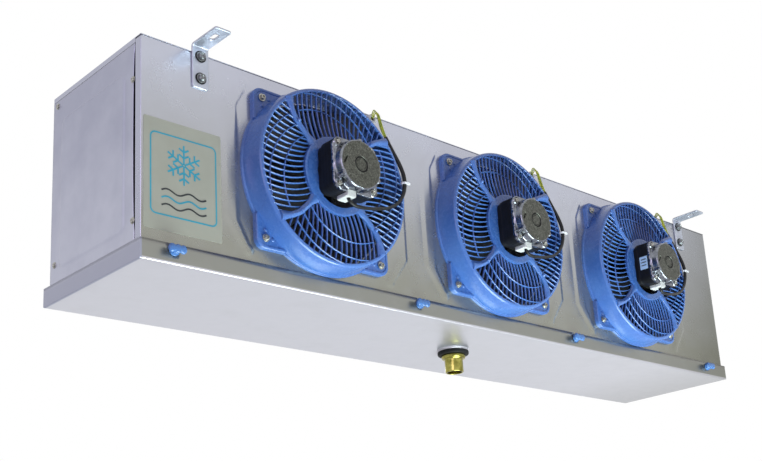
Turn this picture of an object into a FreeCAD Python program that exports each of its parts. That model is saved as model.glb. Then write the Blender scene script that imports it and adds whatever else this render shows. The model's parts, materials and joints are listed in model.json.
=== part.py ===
import FreeCAD, Part
import math
import os

V = FreeCAD.Vector
ORIGIN = V(0, 0, 0)
X_AXIS = V(1, 0, 0)
Y_AXIS = V(0, 1, 0)
Z_AXIS = V(0, 0, 1)

# The origin is in the ceiling plane, over the middle of the casing's length and depth.
# +X runs along the cooler to the right, the air leaves towards -Y, and +Z is up. Sizes are in mm.

# Casing
casing_length = 1424.0
casing_depth = 252.0
casing_height = 303.0
sheet = 1.2
side_return = 14.0
cover_seam = 2.0
screw_tab = 16.0
roof_lip = 8.0
roof_rear_lip = 15.0
roof_seam = 0.5
panel_return = 12.0
tongue_height = 20.0
left_bay = 111.0
right_bay = 120.0
field_rise = 1.5
field_margin_front = 40.0
field_margin_rear = 27.0
field_margin_high = 45.0
field_margin_low = 18.0
field_corner = 14.0
cover_screw_radius = 2.5
cover_screw_head = 4.5
cover_screw_length = 9.0
cover_screw_inset = 20.0
cover_screw_rear_inset = 12.5
cover_screw_high = 64.0
cover_screw_low = 29.0
cover_screw_roof = 17.0

# Hanging brackets
hang_gap = 12.0
bracket_inset_left = 96.0
bracket_inset_right = 105.5
bracket_width = 27.0
bracket_reach = 62.0
bracket_drop = 57.0
bracket_sheet = 3.0
slot_reach = 38.0
slot_width = 9.0
slot_length = 18.0
bolt_rows = (6.5, 41.5)
bolt_radius = 3.0
bolt_hole_radius = 3.3
bolt_flange_radius = 8.5
bolt_flange_height = 1.6
bolt_head_across = 10.0
bolt_head_height = 5.0
bolt_nut_height = 4.0
rivet_nut_radius = 3.9
rivet_nut_length = 9.0

# Pressed stiffeners beside each fan
bead_inner = 153.0
bead_outer = 179.0
bead_straight = 90.0
bead_tip_out = 145.0
bead_tip_in = 129.0
bead_tip_height = 136.0
bead_rise = 2.0
bead_slope = 1.5

# Fans
fan_count = 3
fan_pitch = 400.0
fan_drop = 154.0
throat_radius = 131.0
guard_height = 42.0
guard_face = 3.0
guard_wall = 3.0
guard_base_radius = 146.5
guard_bead_radius = 148.5
guard_bead_height = 4.0
guard_rim_radius = 142.0
guard_rim_round = 4.0
window_radius = 138.5
lug_half = 128.0
lug_corner = 16.0
lug_height = 9.0
lug_skin = 2.6
lug_screw_half = 112.0
lug_hole_radius = 2.9
hub_plate_radius = 63.0
hub_plate_back = 2.0
hub_plate_front = 4.0
hub_slot_radius = 51.0
hub_slot_half_angle = 40.0
spoke_width = 10.0
spoke_rise = 3.0
spoke_boss_radius = 102.0
spoke_boss_size = 3.0
spoke_boss_height = 4.0
spoke_sweep = 6.5
rib_count = 20
rib_width = 2.0
rib_bulge = 6.6
rib_focus = 244.0
cross_rib_width = 1.5
cross_ribs = ((118.0, -42.0, 139.0, 4.0), (97.0, -45.0, 138.0, 28.0), (77.0, -45.0, 116.0, 41.0))
guard_screw_radius = 2.5
guard_screw_across = 8.0
guard_screw_head = 4.0
guard_washer_radius = 6.0
guard_washer = 1.2
guard_screw_tail = 6.0

# Motor and impeller
motor_square = 84.0
motor_corner = 14.0
stack_height = 34.0
cap_base = 5.0
cap_round_radius = 39.5
cap_round_height = 14.0
cap_edge = 3.0
cap_ring_outer = 12.4
cap_ring_inner = 8.7
cap_ring_height = 1.5
ear_screw_half = 33.0
ear_screw_radius = 2.0
ear_screw_head = 3.6
ear_screw_head_height = 3.0
rear_shield_radius = 38.0
rear_shield_height = 6.0
rear_boss_radius = 12.0
rear_boss_height = 2.5
shaft_radius = 4.0
running_gap = 0.05
core_radius = 20.0
core_gap = 0.6
core_height = 28.0
stack_skin = 1.0
impeller_radius = 126.0
impeller_hub_radius = 34.0
impeller_disc = 2.0
impeller_boss_radius = 9.0
impeller_boss_height = 12.0
impeller_depth = 27.0
impeller_rear_gap = 7.0
blade_count = 5
blade_root_pitch = 40.0
blade_tip_pitch = 21.0
blade_root_chord = 38.0
blade_tip_chord = 74.0
blade_sheet = 1.5

# Motor leads
lead_radius = 2.75
wire_radius = 0.9
wire_spacing = 2.1
grommet_outer = 8.5
grommet_neck = 6.5
grommet_bore = 4.0
grommet_reach = 9.0
grommet_tail = 2.0
grommet_offset = V(113.0, 0.0, 143.0)
tie_width = 3.6
tie_sheet = 1.2
tie_tail = 9.0
tie_height = 22.0

# Coil
tube_radius = 6.0
tube_bore = 5.5
tube_pitch = 35.0
tube_levels = 8
tube_columns = 2
tube_side = 17.5
coil_top_gap = 6.0
coil_rear_gap = 2.0
fin_sheet = 0.4
fin_pitch = 8.5
coil_plate = 1.5
end_flange = 25.0
tube_proud = 4.0
suction_radius = 9.525
liquid_radius = 6.35
pipe_wall = 1.0
stub_reach = 40.0
stub_stop = 2.0
stub_stop_rise = 1.5
suction_offset = 58.0
suction_drop = 3.5
liquid_offset = 38.0
pipe_grommet_collar = 2.5
pipe_grommet_wall = 3.0
supply_radius = 6.0

# Terminal box in the left bay
box_length = 46.0
box_depth = 90.0
box_height = 110.0
box_wall = 2.0
box_lid = 3.0
box_drop = 60.0
box_behind_panel = 60.0

# Drain pan, hinge and knobs
pan_height = 29.5
pan_seam = 0.5
pan_clearance = 1.0
pan_overhang_left = 2.2
pan_overhang_right = 9.0
pan_overhang_rear = 15.0
pan_corner = 3.0
drain_x = 7.0
drain_y = 2.0
drain_disc = 1.2
drain_disc_radius = 28.5
drain_neck = 5.0
drain_neck_radius = 25.0
washer_radius = 28.5
washer_height = 5.0
washer_round = 1.5
nipple_radius = 16.6
nipple_bore = 13.5
nipple_flange_radius = 21.75
nipple_flange_height = 7.0
nipple_length = 25.0
nut_across = 42.0
nut_height = 6.0
hinge_places = (-500.0, 0.0, 500.0)
hinge_drop = 7.0
hinge_barrel = 4.0
hinge_pin = 2.5
fixed_knuckle = 20.0
moving_knuckle = 12.0
knuckle_gap = 0.5
leaf_sheet = 2.0
rail_rise = 13.0
rail_shelf = 24.0
knob_places = (-662.5, -201.5, 202.5, 648.0)
stud_radius = 3.0
stud_drop = 10.5
stud_length = 15.0
stud_slot = 7.5
knob_collar_radius = 8.0
knob_collar = 3.0
knob_hub_radius = 6.5
knob_depth = 13.0
knob_wing_length = 29.0
knob_wing_height = 13.0
knob_wing_sheet = 7.0

# Front label
label_left = 4.0
label_width = 126.0
label_top = 123.0
label_height = 164.0
label_sheet = 0.3

# Positions worked out from the sizes
top = -hang_gap
bottom = top - casing_height
front = -casing_depth / 2
rear = casing_depth / 2
left = -casing_length / 2
right = casing_length / 2
tongue_low = bottom - tongue_height
cover_front = front + side_return + cover_seam
cover_top = top - roof_lip - roof_seam
fan_z = top - fan_drop
fan_xs = [fan_pitch * (i - (fan_count - 1) / 2) for i in range(fan_count)]
sheet_left = left + left_bay
sheet_right = right - right_bay
coil_top = top - sheet - coil_top_gap
coil_low = coil_top - tube_pitch * tube_levels
coil_rear = rear - coil_rear_gap
coil_front = coil_rear - tube_pitch * tube_columns
face_front = -guard_height
hub_front = face_front - hub_plate_front
stack_front = hub_front - stack_height
cap_front = stack_front - cap_base - cap_round_height
pan_front = front - pan_clearance - sheet
pan_left = left - pan_overhang_left
pan_right = right + pan_overhang_right
pan_rear = rear + pan_overhang_rear
pan_top = bottom - pan_seam
pan_low = pan_top - pan_height
hinge_y = (rear + pan_rear - sheet) / 2
hinge_z = bottom - hinge_drop
stud_z = bottom - stud_drop


def box(x0, x1, y0, y1, z0, z1):
    return Part.makeBox(x1 - x0, y1 - y0, z1 - z0, V(x0, y0, z0))


def rod(radius, start, direction, length):
    return Part.makeCylinder(radius, length, start, direction)


def pipe(outer, inner, start, direction, length):
    return rod(outer, start, direction, length).cut(rod(inner, start, direction, length))


def fuse(shapes):
    joined = shapes[0].multiFuse(shapes[1:]) if len(shapes) > 1 else shapes[0]
    return joined.removeSplitter()


def polygon_prism(points, y0, y1):
    wire = Part.makePolygon([V(x, y0, z) for x, z in points] + [V(points[0][0], y0, points[0][1])])
    return Part.Face(wire).extrude(V(0, y1 - y0, 0))


def rounded_square(half, corner, y0, y1):
    block = box(-half, half, y0, y1, -half, half)
    return block.makeFillet(corner, edges_along(block, Y_AXIS))


def edges_along(shape, direction):
    found = []
    for edge in shape.Edges:
        if len(edge.Vertexes) == 2:
            run = edge.Vertexes[1].Point - edge.Vertexes[0].Point
            if abs(abs(run.normalize().dot(direction)) - 1) < 1e-6:
                found.append(edge)
    return found


def edges_at_y(shape, y):
    return [edge for edge in shape.Edges if all(abs(p.Y - y) < 1e-4 for p in edge.Vertexes)]


def edges_at_z(shape, z):
    return [edge for edge in shape.Edges if all(abs(p.Z - z) < 1e-4 for p in edge.Vertexes)]


def hexagon(across, start, direction, height):
    radius = across / math.sqrt(3)
    turns = [i * math.pi / 3 for i in range(7)]
    points = [V(radius * math.cos(turn), radius * math.sin(turn), 0) for turn in turns]
    prism = Part.Face(Part.makePolygon(points)).extrude(V(0, 0, height))
    prism.Placement = FreeCAD.Placement(start, FreeCAD.Rotation(Z_AXIS, direction))
    return prism


def polar(radius, degrees, y=0.0):
    angle = math.radians(degrees)
    return V(radius * math.cos(angle), y, radius * math.sin(angle))


def arc_band(start, middle, end, width, y0, y1):
    """A flat curved bar: the band of the given width about the arc through three points."""
    centre = Part.Arc(start, middle, end).toShape().Curve.Center
    edges = []
    for side in (-width / 2, width / 2):
        ends = [centre + (p - centre) * (((p - centre).Length + side) / (p - centre).Length)
                for p in (start, middle, end)]
        edges.append(ends)
    inner, outer = edges
    wire = Part.Wire([Part.Arc(*inner).toShape(), Part.LineSegment(inner[2], outer[2]).toShape(),
                      Part.Arc(outer[2], outer[1], outer[0]).toShape(),
                      Part.LineSegment(outer[0], inner[0]).toShape()])
    band = Part.Face(wire).extrude(V(0, y1 - y0, 0))
    band.translate(V(0, y0 - start.y, 0))
    return band


def mirror_x(shape):
    return shape.mirror(ORIGIN, X_AXIS)


def fan_centre(index):
    return V(fan_xs[index], front, fan_z)


def at_each_fan(shape):
    copies = []
    for index in range(fan_count):
        copy = shape.copy()
        copy.translate(fan_centre(index))
        copies.append(copy)
    return copies


# Casing

def bead(side, inset, y0, y1):
    """A bracket-shaped stiffener beside a fan, bowed away from it."""
    points = [(bead_outer - inset, bead_straight), (bead_outer - inset, -bead_straight),
              (bead_tip_out - inset, -bead_tip_height + inset),
              (bead_tip_in + inset, -bead_tip_height + inset),
              (bead_inner + inset, -bead_straight + inset), (bead_inner + inset, bead_straight - inset),
              (bead_tip_in + inset, bead_tip_height - inset), (bead_tip_out - inset, bead_tip_height - inset)]
    return polygon_prism([(side * x, z) for x, z in points], y0, y1)


def front_panel():
    panel = [box(left, right, front, front + sheet, tongue_low, top - sheet),
             box(left, right, front, front + side_return, top - 2 * sheet, top - sheet),
             box(left, right, front, front + panel_return, tongue_low, tongue_low + sheet)]
    for end, inward in ((left, 1), (right, -1)):
        outer = sorted((end, end + inward * sheet))
        step = sorted((end, end + inward * 2 * sheet))
        inner = sorted((end + inward * sheet, end + inward * 2 * sheet))
        panel.append(box(*outer, front, front + side_return, bottom, top - sheet))
        panel.append(box(*step, front + side_return - sheet, front + side_return, bottom, top - sheet))
        panel.append(box(*inner, front + side_return - sheet, cover_front + screw_tab, bottom, cover_top))
    for x in fan_xs:
        for side in (-1, 1):
            raised = bead(side, 0.0, -bead_rise, 0.0)
            raised = raised.makeChamfer(bead_slope, edges_at_y(raised, -bead_rise))
            raised.translate(V(x, front, fan_z))
            panel.append(raised)
    body = fuse(panel)
    holes = []
    for index in range(fan_count):
        centre = fan_centre(index)
        start = centre - Y_AXIS * sheet
        holes.append(rod(throat_radius, start, Y_AXIS, 3 * sheet))
        for sx in (-1, 1):
            for sz in (-1, 1):
                place = start + V(sx * lug_screw_half, 0, sz * lug_screw_half)
                holes.append(rod(guard_screw_radius, place, Y_AXIS, 3 * sheet))
        holes.append(rod(grommet_neck, start + grommet_offset, Y_AXIS, 3 * sheet))
    for x in bracket_xs():
        for row in bolt_rows:
            holes.append(rod(bolt_hole_radius, V(x, front - sheet, top - row), Y_AXIS, 3 * sheet))
    for y, z in cover_screw_places()[:2]:
        holes.append(rod(cover_screw_radius, V(left - 1, y, z), X_AXIS, casing_length + 2))
    for x in knob_places:
        holes.append(rod(stud_radius, V(x, front - 1, stud_z), Y_AXIS, sheet + 2))
    return body.cut(Part.makeCompound(holes))


def top_panel():
    plate = [box(left, right, front, rear, top - sheet, top),
             box(left, left + sheet, front + side_return + roof_seam, rear, top - roof_lip, top),
             box(right - sheet, right, front + side_return + roof_seam, rear, top - roof_lip, top),
             box(left + sheet, right - sheet, rear - sheet, rear, top - roof_rear_lip, top)]
    return fuse(plate).cut(rear_bolt_holes())


def cover_screw_places():
    """Side, height pairs of the end cover screws, as y and z."""
    y_front = front + cover_screw_inset
    y_rear = rear - cover_screw_rear_inset
    return [(y_front, top - cover_screw_high), (y_front, bottom + cover_screw_low),
            (y_rear, top - cover_screw_roof), (y_rear, bottom + cover_screw_low)]


def end_cover():
    """The left end cover: a plate with a pressed field."""
    side = box(left, left + sheet, cover_front, rear, bottom, cover_top)
    field = box(left - field_rise, left + sheet, front + field_margin_front, rear - field_margin_rear,
                bottom + field_margin_low, top - field_margin_high)
    field = field.makeFillet(field_corner, edges_along(field, X_AXIS))
    hollow = field.copy()
    hollow.translate(V(field_rise, 0, 0))
    cover = fuse([side, field]).cut(trimmed(hollow, sheet))
    for y, z in cover_screw_places():
        cover = cover.cut(rod(cover_screw_radius, V(left - 1, y, z), X_AXIS, sheet + 2))
    return cover


def trimmed(block, margin):
    """The block drawn in by a margin in Y and Z, from its own bounding box."""
    span = block.BoundBox
    inner = box(span.XMin, span.XMax + 1, span.YMin + margin, span.YMax - margin,
                span.ZMin + margin, span.ZMax - margin)
    return inner.makeFillet(field_corner - margin, edges_along(inner, X_AXIS))


def pipe_places():
    """Where pipes leave the right bay to the rear, as x, z and radius."""
    return [(sheet_right + suction_offset, tube_z(tube_levels - 1) - suction_drop, suction_radius),
            (sheet_right + liquid_offset, tube_z(0), liquid_radius)]


def supply_place():
    return [(left + left_bay / 2, bottom + field_margin_high, supply_radius)]


def end_cover_screws():
    screws = []
    for y, z in cover_screw_places():
        head = rod(cover_screw_head, V(left - cover_screw_head / 2, y, z), X_AXIS, cover_screw_head / 2)
        head = head.makeChamfer(cover_screw_head / 4, [e for e in head.Edges if e.Vertexes[0].X < left - 1])
        shank = rod(cover_screw_radius, V(left - 1, y, z), X_AXIS, cover_screw_length)
        screws.append(fuse([head, shank]))
    return screws + [mirror_x(screw) for screw in screws]


def bracket_xs():
    return [left + bracket_inset_left, right - bracket_inset_right]


def hanging_bracket(x, facing):
    """An angle: one leg bolted flat to the casing, the other reaching out along the ceiling."""
    half = bracket_width / 2
    leg = box(x - half, x + half, -bracket_sheet, 0, top - bracket_drop, 0)
    reach = box(x - half, x + half, -bracket_reach, 0, -bracket_sheet, 0)
    angle = fuse([leg, reach])
    slot = box(x - slot_width / 2, x + slot_width / 2, -slot_reach - (slot_length - slot_width) / 2,
               -slot_reach + (slot_length - slot_width) / 2, -2 * bracket_sheet, bracket_sheet)
    for end in (-1, 1):
        centre = V(x, -slot_reach + end * (slot_length - slot_width) / 2, -2 * bracket_sheet)
        slot = slot.fuse(rod(slot_width / 2, centre, Z_AXIS, 3 * bracket_sheet))
    angle = angle.cut(slot)
    for row in bolt_rows:
        start = V(x, -2 * bracket_sheet, top - row)
        angle = angle.cut(rod(bolt_hole_radius, start, Y_AXIS, 3 * bracket_sheet))
    if facing > 0:
        angle = angle.mirror(ORIGIN, Y_AXIS)
    angle.translate(V(0, front if facing < 0 else rear, 0))
    return angle


def bracket_bolts():
    bolts = []
    for x in bracket_xs():
        for row in bolt_rows:
            for facing, face in ((-1, front), (1, rear)):
                seat = V(x, face + facing * bracket_sheet, top - row)
                out = V(0, facing, 0)
                flange = rod(bolt_flange_radius, seat, out, bolt_flange_height)
                head = hexagon(bolt_head_across, seat, out, bolt_flange_height + bolt_head_height)
                shank = rod(bolt_radius, seat, -out, bracket_sheet + sheet)
                nut = rod(rivet_nut_radius, seat - out * (bracket_sheet + sheet), -out, rivet_nut_length)
                bolts.append(fuse([flange, head, shank, nut]))
    return bolts


def rear_bolt_holes():
    return Part.makeCompound([rod(bolt_hole_radius, V(x, rear - 2 * sheet, top - row), Y_AXIS, 3 * sheet)
                              for x in bracket_xs() for row in bolt_rows])


def front_label():
    x = left + label_left
    high = top - label_top
    return box(x, x + label_width, front - label_sheet, front, high - label_height, high)


# Fan guard, one moulding: base flange, lugs, ring wall, spokes and ribs

def guard_ring():
    profile = [V(guard_base_radius - guard_wall - 1, 0, 0), V(guard_bead_radius, 0, 0),
               V(guard_bead_radius, -guard_bead_height, 0), V(guard_base_radius, -guard_bead_height, 0),
               V(guard_rim_radius, face_front + guard_rim_round, 0),
               V(guard_rim_radius - guard_rim_round, face_front, 0),
               V(window_radius - 2, face_front, 0), V(window_radius - 2, face_front + guard_face, 0),
               V(guard_rim_radius - guard_wall, face_front + guard_face, 0)]
    edges = [Part.LineSegment(profile[i], profile[i + 1]).toShape() for i in (0, 1, 2, 3)]
    knee = V(guard_rim_radius - guard_rim_round * (1 - math.sqrt(0.5)),
             face_front + guard_rim_round * (1 - math.sqrt(0.5)), 0)
    edges.append(Part.Arc(profile[4], knee, profile[5]).toShape())
    edges += [Part.LineSegment(profile[i], profile[i + 1]).toShape() for i in (5, 6, 7)]
    edges.append(Part.LineSegment(profile[8], profile[0]).toShape())
    return Part.Face(Part.Wire(edges)).revolve(ORIGIN, Y_AXIS, 360)


def guard_lugs():
    bore = rod(guard_base_radius - guard_wall, V(0, 1, 0), -Y_AXIS, lug_height + 2)
    slab = rounded_square(lug_half, lug_corner, -lug_height, 0)
    pocket = rounded_square(lug_half - lug_skin, lug_corner - lug_skin, -lug_height + lug_skin, 1)
    rim = rod(guard_base_radius + lug_skin, V(0, 1, 0), -Y_AXIS, lug_height + 2)
    lugs = slab.cut(pocket.cut(rim)).cut(bore)
    for sx in (-1, 1):
        for sz in (-1, 1):
            place = V(sx * lug_screw_half, 0, sz * lug_screw_half)
            lugs = lugs.fuse(rod(2 * lug_hole_radius, place, -Y_AXIS, lug_height - lug_skin / 2))
            lugs = lugs.cut(rod(lug_hole_radius, place + Y_AXIS, -Y_AXIS, lug_height + 2))
    return lugs


def hub_plate():
    plate = rod(hub_plate_radius, V(0, hub_front, 0), Y_AXIS, hub_plate_front + hub_plate_back)
    plate = plate.cut(rod(rear_shield_radius + 2, V(0, hub_front - 1, 0), Y_AXIS, 20))
    for middle in (90, 270):
        span = 2 * hub_slot_half_angle
        sector = Part.makeCylinder(hub_slot_radius, 20, V(0, hub_front - 1, 0), Y_AXIS, span)
        sector.rotate(ORIGIN, Y_AXIS, -sector_turn(sector, middle))
        plate = plate.cut(sector)
    for sx in (-1, 1):
        for sz in (-1, 1):
            place = V(sx * ear_screw_half, hub_front - 1, sz * ear_screw_half)
            plate = plate.cut(rod(ear_screw_radius, place, Y_AXIS, 20))
    return plate


def sector_turn(sector, middle):
    """Degrees about Y that bring the sector's middle to the given angle in the X-Z plane."""
    centre = sector.CenterOfMass
    now = math.degrees(math.atan2(centre.z, centre.x))
    return middle - now


def spoke_points(shift):
    return [polar(hub_plate_radius - 3, 45 + shift), polar(spoke_boss_radius, 45 + shift),
            polar(window_radius, 45 - spoke_sweep + shift)]


def spoke():
    back = face_front + guard_face
    bar = arc_band(*spoke_points(0), spoke_width, face_front - spoke_rise, back)
    height = spoke_rise + spoke_boss_height
    boss = rod(spoke_boss_size, polar(spoke_boss_radius, 45, face_front), -Y_AXIS, height)
    dome = boss.makeChamfer(spoke_boss_size / 2, edges_at_y(boss, face_front - height))
    return fuse([bar, dome])


def quadrant():
    """The space between two neighbouring spokes' centre lines, about the +X direction."""
    low = spoke_points(-90)
    high = spoke_points(0)
    outer = Part.Arc(low[2], polar(window_radius, -spoke_sweep), high[2])
    inner = Part.Arc(low[0], polar(hub_plate_radius - 3, 0), high[0])
    sides = [Part.Arc(*low), outer, Part.Arc(*reversed(high)), inner]
    region = Part.Face(Part.Wire([side.toShape() for side in sides])).extrude(V(0, 20, 0))
    region.translate(V(0, face_front - 5, 0))
    return region


def quadrant_ribs():
    """Curved ribs that lean towards a focus behind the hub, and thin bars that spiral across them."""
    back = face_front + guard_face
    focus = V(-rib_focus, 0, 0)
    step = 90.0 / (rib_count + 1)
    ribs = []
    for i in range(rib_count):
        angle = (i - (rib_count - 1) / 2) * step
        rim = polar(window_radius + 1, angle - spoke_sweep)
        aim = (polar(window_radius + 1, angle) - focus).normalize()
        root = rim_root(rim, aim)
        sideways = V(-(rim - root).z, 0, (rim - root).x).normalize()
        middle = (rim + root) * 0.5 + sideways * rib_bulge
        ribs.append(arc_band(root, middle, rim, rib_width, face_front, back))
    for start_radius, start_angle, end_radius, end_angle in cross_ribs:
        middle = polar((start_radius + end_radius) / 2, (start_angle + end_angle) / 2)
        ribs.append(arc_band(polar(start_radius, start_angle), middle, polar(end_radius, end_angle),
                             cross_rib_width, face_front, face_front + guard_face / 2))
    return ribs


def rim_root(rim, aim):
    """The point on the rib's line, inwards from the rim, that lies inside the hub plate's edge or a spoke."""
    length = rim.dot(aim)
    gap = rim.dot(rim) - (hub_plate_radius - 4) ** 2
    root_part = length * length - gap
    reach = length - math.sqrt(root_part) if root_part > 0 else length
    return rim - aim * reach


def fan_guard():
    region = quadrant()
    ribs = Part.makeCompound(quadrant_ribs()).common(region)
    pieces = [guard_ring(), guard_lugs(), hub_plate()]
    for turn in range(4):
        for shape in ribs.Solids + [spoke()]:
            copy = shape.copy()
            copy.rotate(ORIGIN, Y_AXIS, 90 * turn)
            pieces.append(copy)
    return fuse(pieces)


def guard_screw():
    seat = -lug_height
    washer = rod(guard_washer_radius, V(0, seat, 0), -Y_AXIS, guard_washer)
    head = hexagon(guard_screw_across, V(0, seat, 0), -Y_AXIS, guard_washer + guard_screw_head)
    shank = rod(guard_screw_radius, V(0, seat, 0), Y_AXIS, lug_height + sheet + guard_screw_tail)
    return fuse([washer, head, shank])


def guard_screws():
    screws = []
    for index in range(fan_count):
        for sx in (-1, 1):
            for sz in (-1, 1):
                screw = guard_screw()
                screw.translate(fan_centre(index) + V(sx * lug_screw_half, 0, sz * lug_screw_half))
                screws.append(screw)
    return screws


# Motor and impeller, about the fan axis with y = 0 at the panel's front

def ear_places():
    return [V(sx * ear_screw_half, 0, sz * ear_screw_half) for sx in (-1, 1) for sz in (-1, 1)]


def motor_stator():
    block = rounded_square(motor_square / 2, motor_corner, stack_front, hub_front)
    bore = rod(core_radius + core_gap, V(0, stack_front - 1, 0), Y_AXIS, stack_height + 2)
    holes = [rod(ear_screw_radius + 0.1, place + V(0, stack_front - 1, 0), Y_AXIS, stack_height + 2)
             for place in ear_places()]
    return block.cut(Part.makeCompound([bore] + holes))


def motor_cap():
    base = rounded_square(motor_square / 2, motor_corner, stack_front - cap_base, stack_front)
    crown = rod(cap_round_radius, V(0, stack_front, 0), -Y_AXIS, cap_base + cap_round_height)
    crown = crown.makeFillet(cap_edge, edges_at_y(crown, cap_front))
    ring = pipe(cap_ring_outer, cap_ring_inner, V(0, cap_front, 0), -Y_AXIS, cap_ring_height)
    cap = fuse([base, crown, ring])
    well_depth = cap_round_height + 2
    for place in ear_places():
        well = rod(2 * ear_screw_head, place + V(0, stack_front - cap_base, 0), -Y_AXIS, well_depth)
        cap = cap.cut(well)
        cap = cap.cut(rod(ear_screw_radius + 0.1, place + V(0, stack_front + 1, 0), -Y_AXIS, cap_base + 2))
    bearing = rod(shaft_radius + running_gap, V(0, stack_front + 1, 0), -Y_AXIS, cap_base + cap_round_height)
    return cap.cut(bearing)


def motor_rear_shield():
    plate = rod(rear_shield_radius, V(0, hub_front, 0), Y_AXIS, rear_shield_height)
    plate = plate.makeChamfer(1.5, edges_at_y(plate, hub_front + rear_shield_height))
    boss = rod(rear_boss_radius, V(0, hub_front, 0), Y_AXIS, rear_shield_height + rear_boss_height)
    shield = fuse([plate, boss])
    return shield.cut(rod(shaft_radius + running_gap, V(0, hub_front - 1, 0), Y_AXIS, 20))


def motor_screws():
    screws = []
    for place in ear_places():
        seat = place + V(0, stack_front - cap_base, 0)
        head = rod(ear_screw_head, seat, -Y_AXIS, ear_screw_head_height)
        shank = rod(ear_screw_radius, seat, Y_AXIS, cap_base + stack_height + hub_plate_front)
        screws.append(fuse([head, shank]))
    return [screw for one in screws for screw in at_each_fan(one)]


def rotor():
    shaft_start = cap_front + cap_edge + 2
    shaft = rod(shaft_radius, V(0, shaft_start, 0), Y_AXIS, -impeller_rear_gap + 1 - shaft_start)
    core_start = stack_front + (stack_height - core_height) / 2
    core = rod(core_radius, V(0, core_start, 0), Y_AXIS, core_height)
    return fuse([shaft, core])


def impeller_blade():
    """A twisted blade: a ruled loft between the chord line at the hub and the one at the tip."""
    middle = -impeller_rear_gap - impeller_depth / 2
    sections = []
    for radius, chord, pitch in ((impeller_hub_radius - 4, blade_root_chord, blade_root_pitch),
                                 (impeller_radius + 1, blade_tip_chord, blade_tip_pitch)):
        along = V(0, math.sin(math.radians(pitch)), math.cos(math.radians(pitch)))
        across = V(0, math.cos(math.radians(pitch)), -math.sin(math.radians(pitch))) * (blade_sheet / 2)
        centre = V(radius, middle, 0)
        half = along * (chord / 2)
        corners = [centre - half - across, centre + half - across,
                   centre + half + across, centre - half + across]
        sections.append(Part.makePolygon(corners + [corners[0]]))
    return Part.makeLoft(sections, True, True)


def impeller():
    disc_front = -impeller_rear_gap - impeller_depth / 2 - impeller_disc / 2
    disc = rod(impeller_hub_radius, V(0, disc_front, 0), Y_AXIS, impeller_disc)
    boss = rod(impeller_boss_radius, V(0, disc_front, 0), Y_AXIS, impeller_boss_height)
    pieces = [disc, boss]
    blade = impeller_blade()
    for i in range(blade_count):
        copy = blade.copy()
        copy.rotate(ORIGIN, Y_AXIS, 360.0 / blade_count * i)
        pieces.append(copy)
    wheel = fuse(pieces)
    wheel = wheel.common(rod(impeller_radius, V(0, -guard_height, 0), Y_AXIS, guard_height))
    return wheel.cut(rod(shaft_radius, V(0, -guard_height, 0), Y_AXIS, guard_height))


# Motor leads

def arc_tube(points, radius, name):
    """A round tube along straight runs joined by tangent arcs, each as large as its runs allow."""
    edges = []
    at = points[0]
    length = 0.0
    for before, corner, after in zip(points, points[1:], points[2:]):
        into = (corner - before).normalize()
        out = (after - corner).normalize()
        half_turn = into.getAngle(out) / 2
        reach = 0.45 * min((corner - before).Length, (after - corner).Length)
        bend = reach / math.tan(half_turn)
        print(name, "bend radius", round(bend, 1))
        start = corner - into * reach
        end = corner + out * reach
        inward = (out - into).normalize()
        middle = corner + inward * (bend / math.cos(half_turn) - bend)
        edges += [Part.LineSegment(at, start).toShape(), Part.Arc(start, middle, end).toShape()]
        length += (start - at).Length + 2 * half_turn * bend
        at = end
    edges.append(Part.LineSegment(at, points[-1]).toShape())
    length += (points[-1] - at).Length
    start = points[0]
    ring = Part.Wire(Part.Circle(start, points[1] - start, radius).toShape())
    tube = Part.Wire(edges).makePipeShell([ring], True, False)
    filled = tube.Volume / (math.pi * radius ** 2 * length)
    print(name, "length", round(length, 1), "volume ratio", round(filled, 4))
    return tube


def lead_route():
    """From the motor's underside, in front of the grille to its rim, and up along the guard's ring."""
    low = -motor_square / 2
    return [V(-10, -77, low), V(-10, -77, low - 9), V(-2, -77.3, low - 15.5), V(14, -76, low - 16),
            V(42, -71, low - 10), V(70, -65, low - 2), V(95, -58, low + 8), V(116, -52.5, low + 22),
            V(130, -48.5, low + 37), V(138.5, -46.6, low + 54), V(141.5, -45, low + 75),
            V(139, -38.5, low + 99), V(128, -33, low + 124), V(119, -30, low + 145)]


def wire_route(number):
    """Three wires side by side from the sleeve's end over a small loop into the panel grommet."""
    before, start = lead_route()[-2:]
    along = (start - before).normalize()
    side = (X_AXIS - along * along.x).normalize() * (wire_spacing * (number - 1))
    spread = X_AXIS * (wire_spacing * (number - 1))
    hole = grommet_offset
    return [start + side, start + along * 13 + side, V(112, -25.5, hole.z - 12 + number) + spread,
            V(112.3, -21.5, hole.z + number) + spread, V(112.7, -15.5, hole.z + 6 + number) + spread,
            hole + V(0, -8.5, 1) + spread, hole + V(0, sheet + 1, 0) + spread]


def motor_lead(index):
    tube = arc_tube(lead_route(), lead_radius, "lead")
    tube.translate(fan_centre(index))
    return tube


def lead_wires(index):
    wires = []
    for number in range(3):
        wire = arc_tube(wire_route(number), wire_radius, "wire")
        wire.translate(fan_centre(index))
        wires.append(wire)
    return wires


def lead_grommet():
    seat = grommet_offset
    mouth = rod(grommet_outer, seat, -Y_AXIS, grommet_reach)
    mouth = mouth.makeFillet(2, edges_at_y(mouth, -grommet_reach))
    neck = rod(grommet_neck, seat, Y_AXIS, sheet)
    tail = rod(grommet_outer - 0.5, seat + V(0, sheet, 0), Y_AXIS, grommet_tail)
    body = fuse([mouth, neck, tail])
    return body.cut(rod(grommet_bore, seat - V(0, 20, 0), Y_AXIS, 30))


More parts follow.
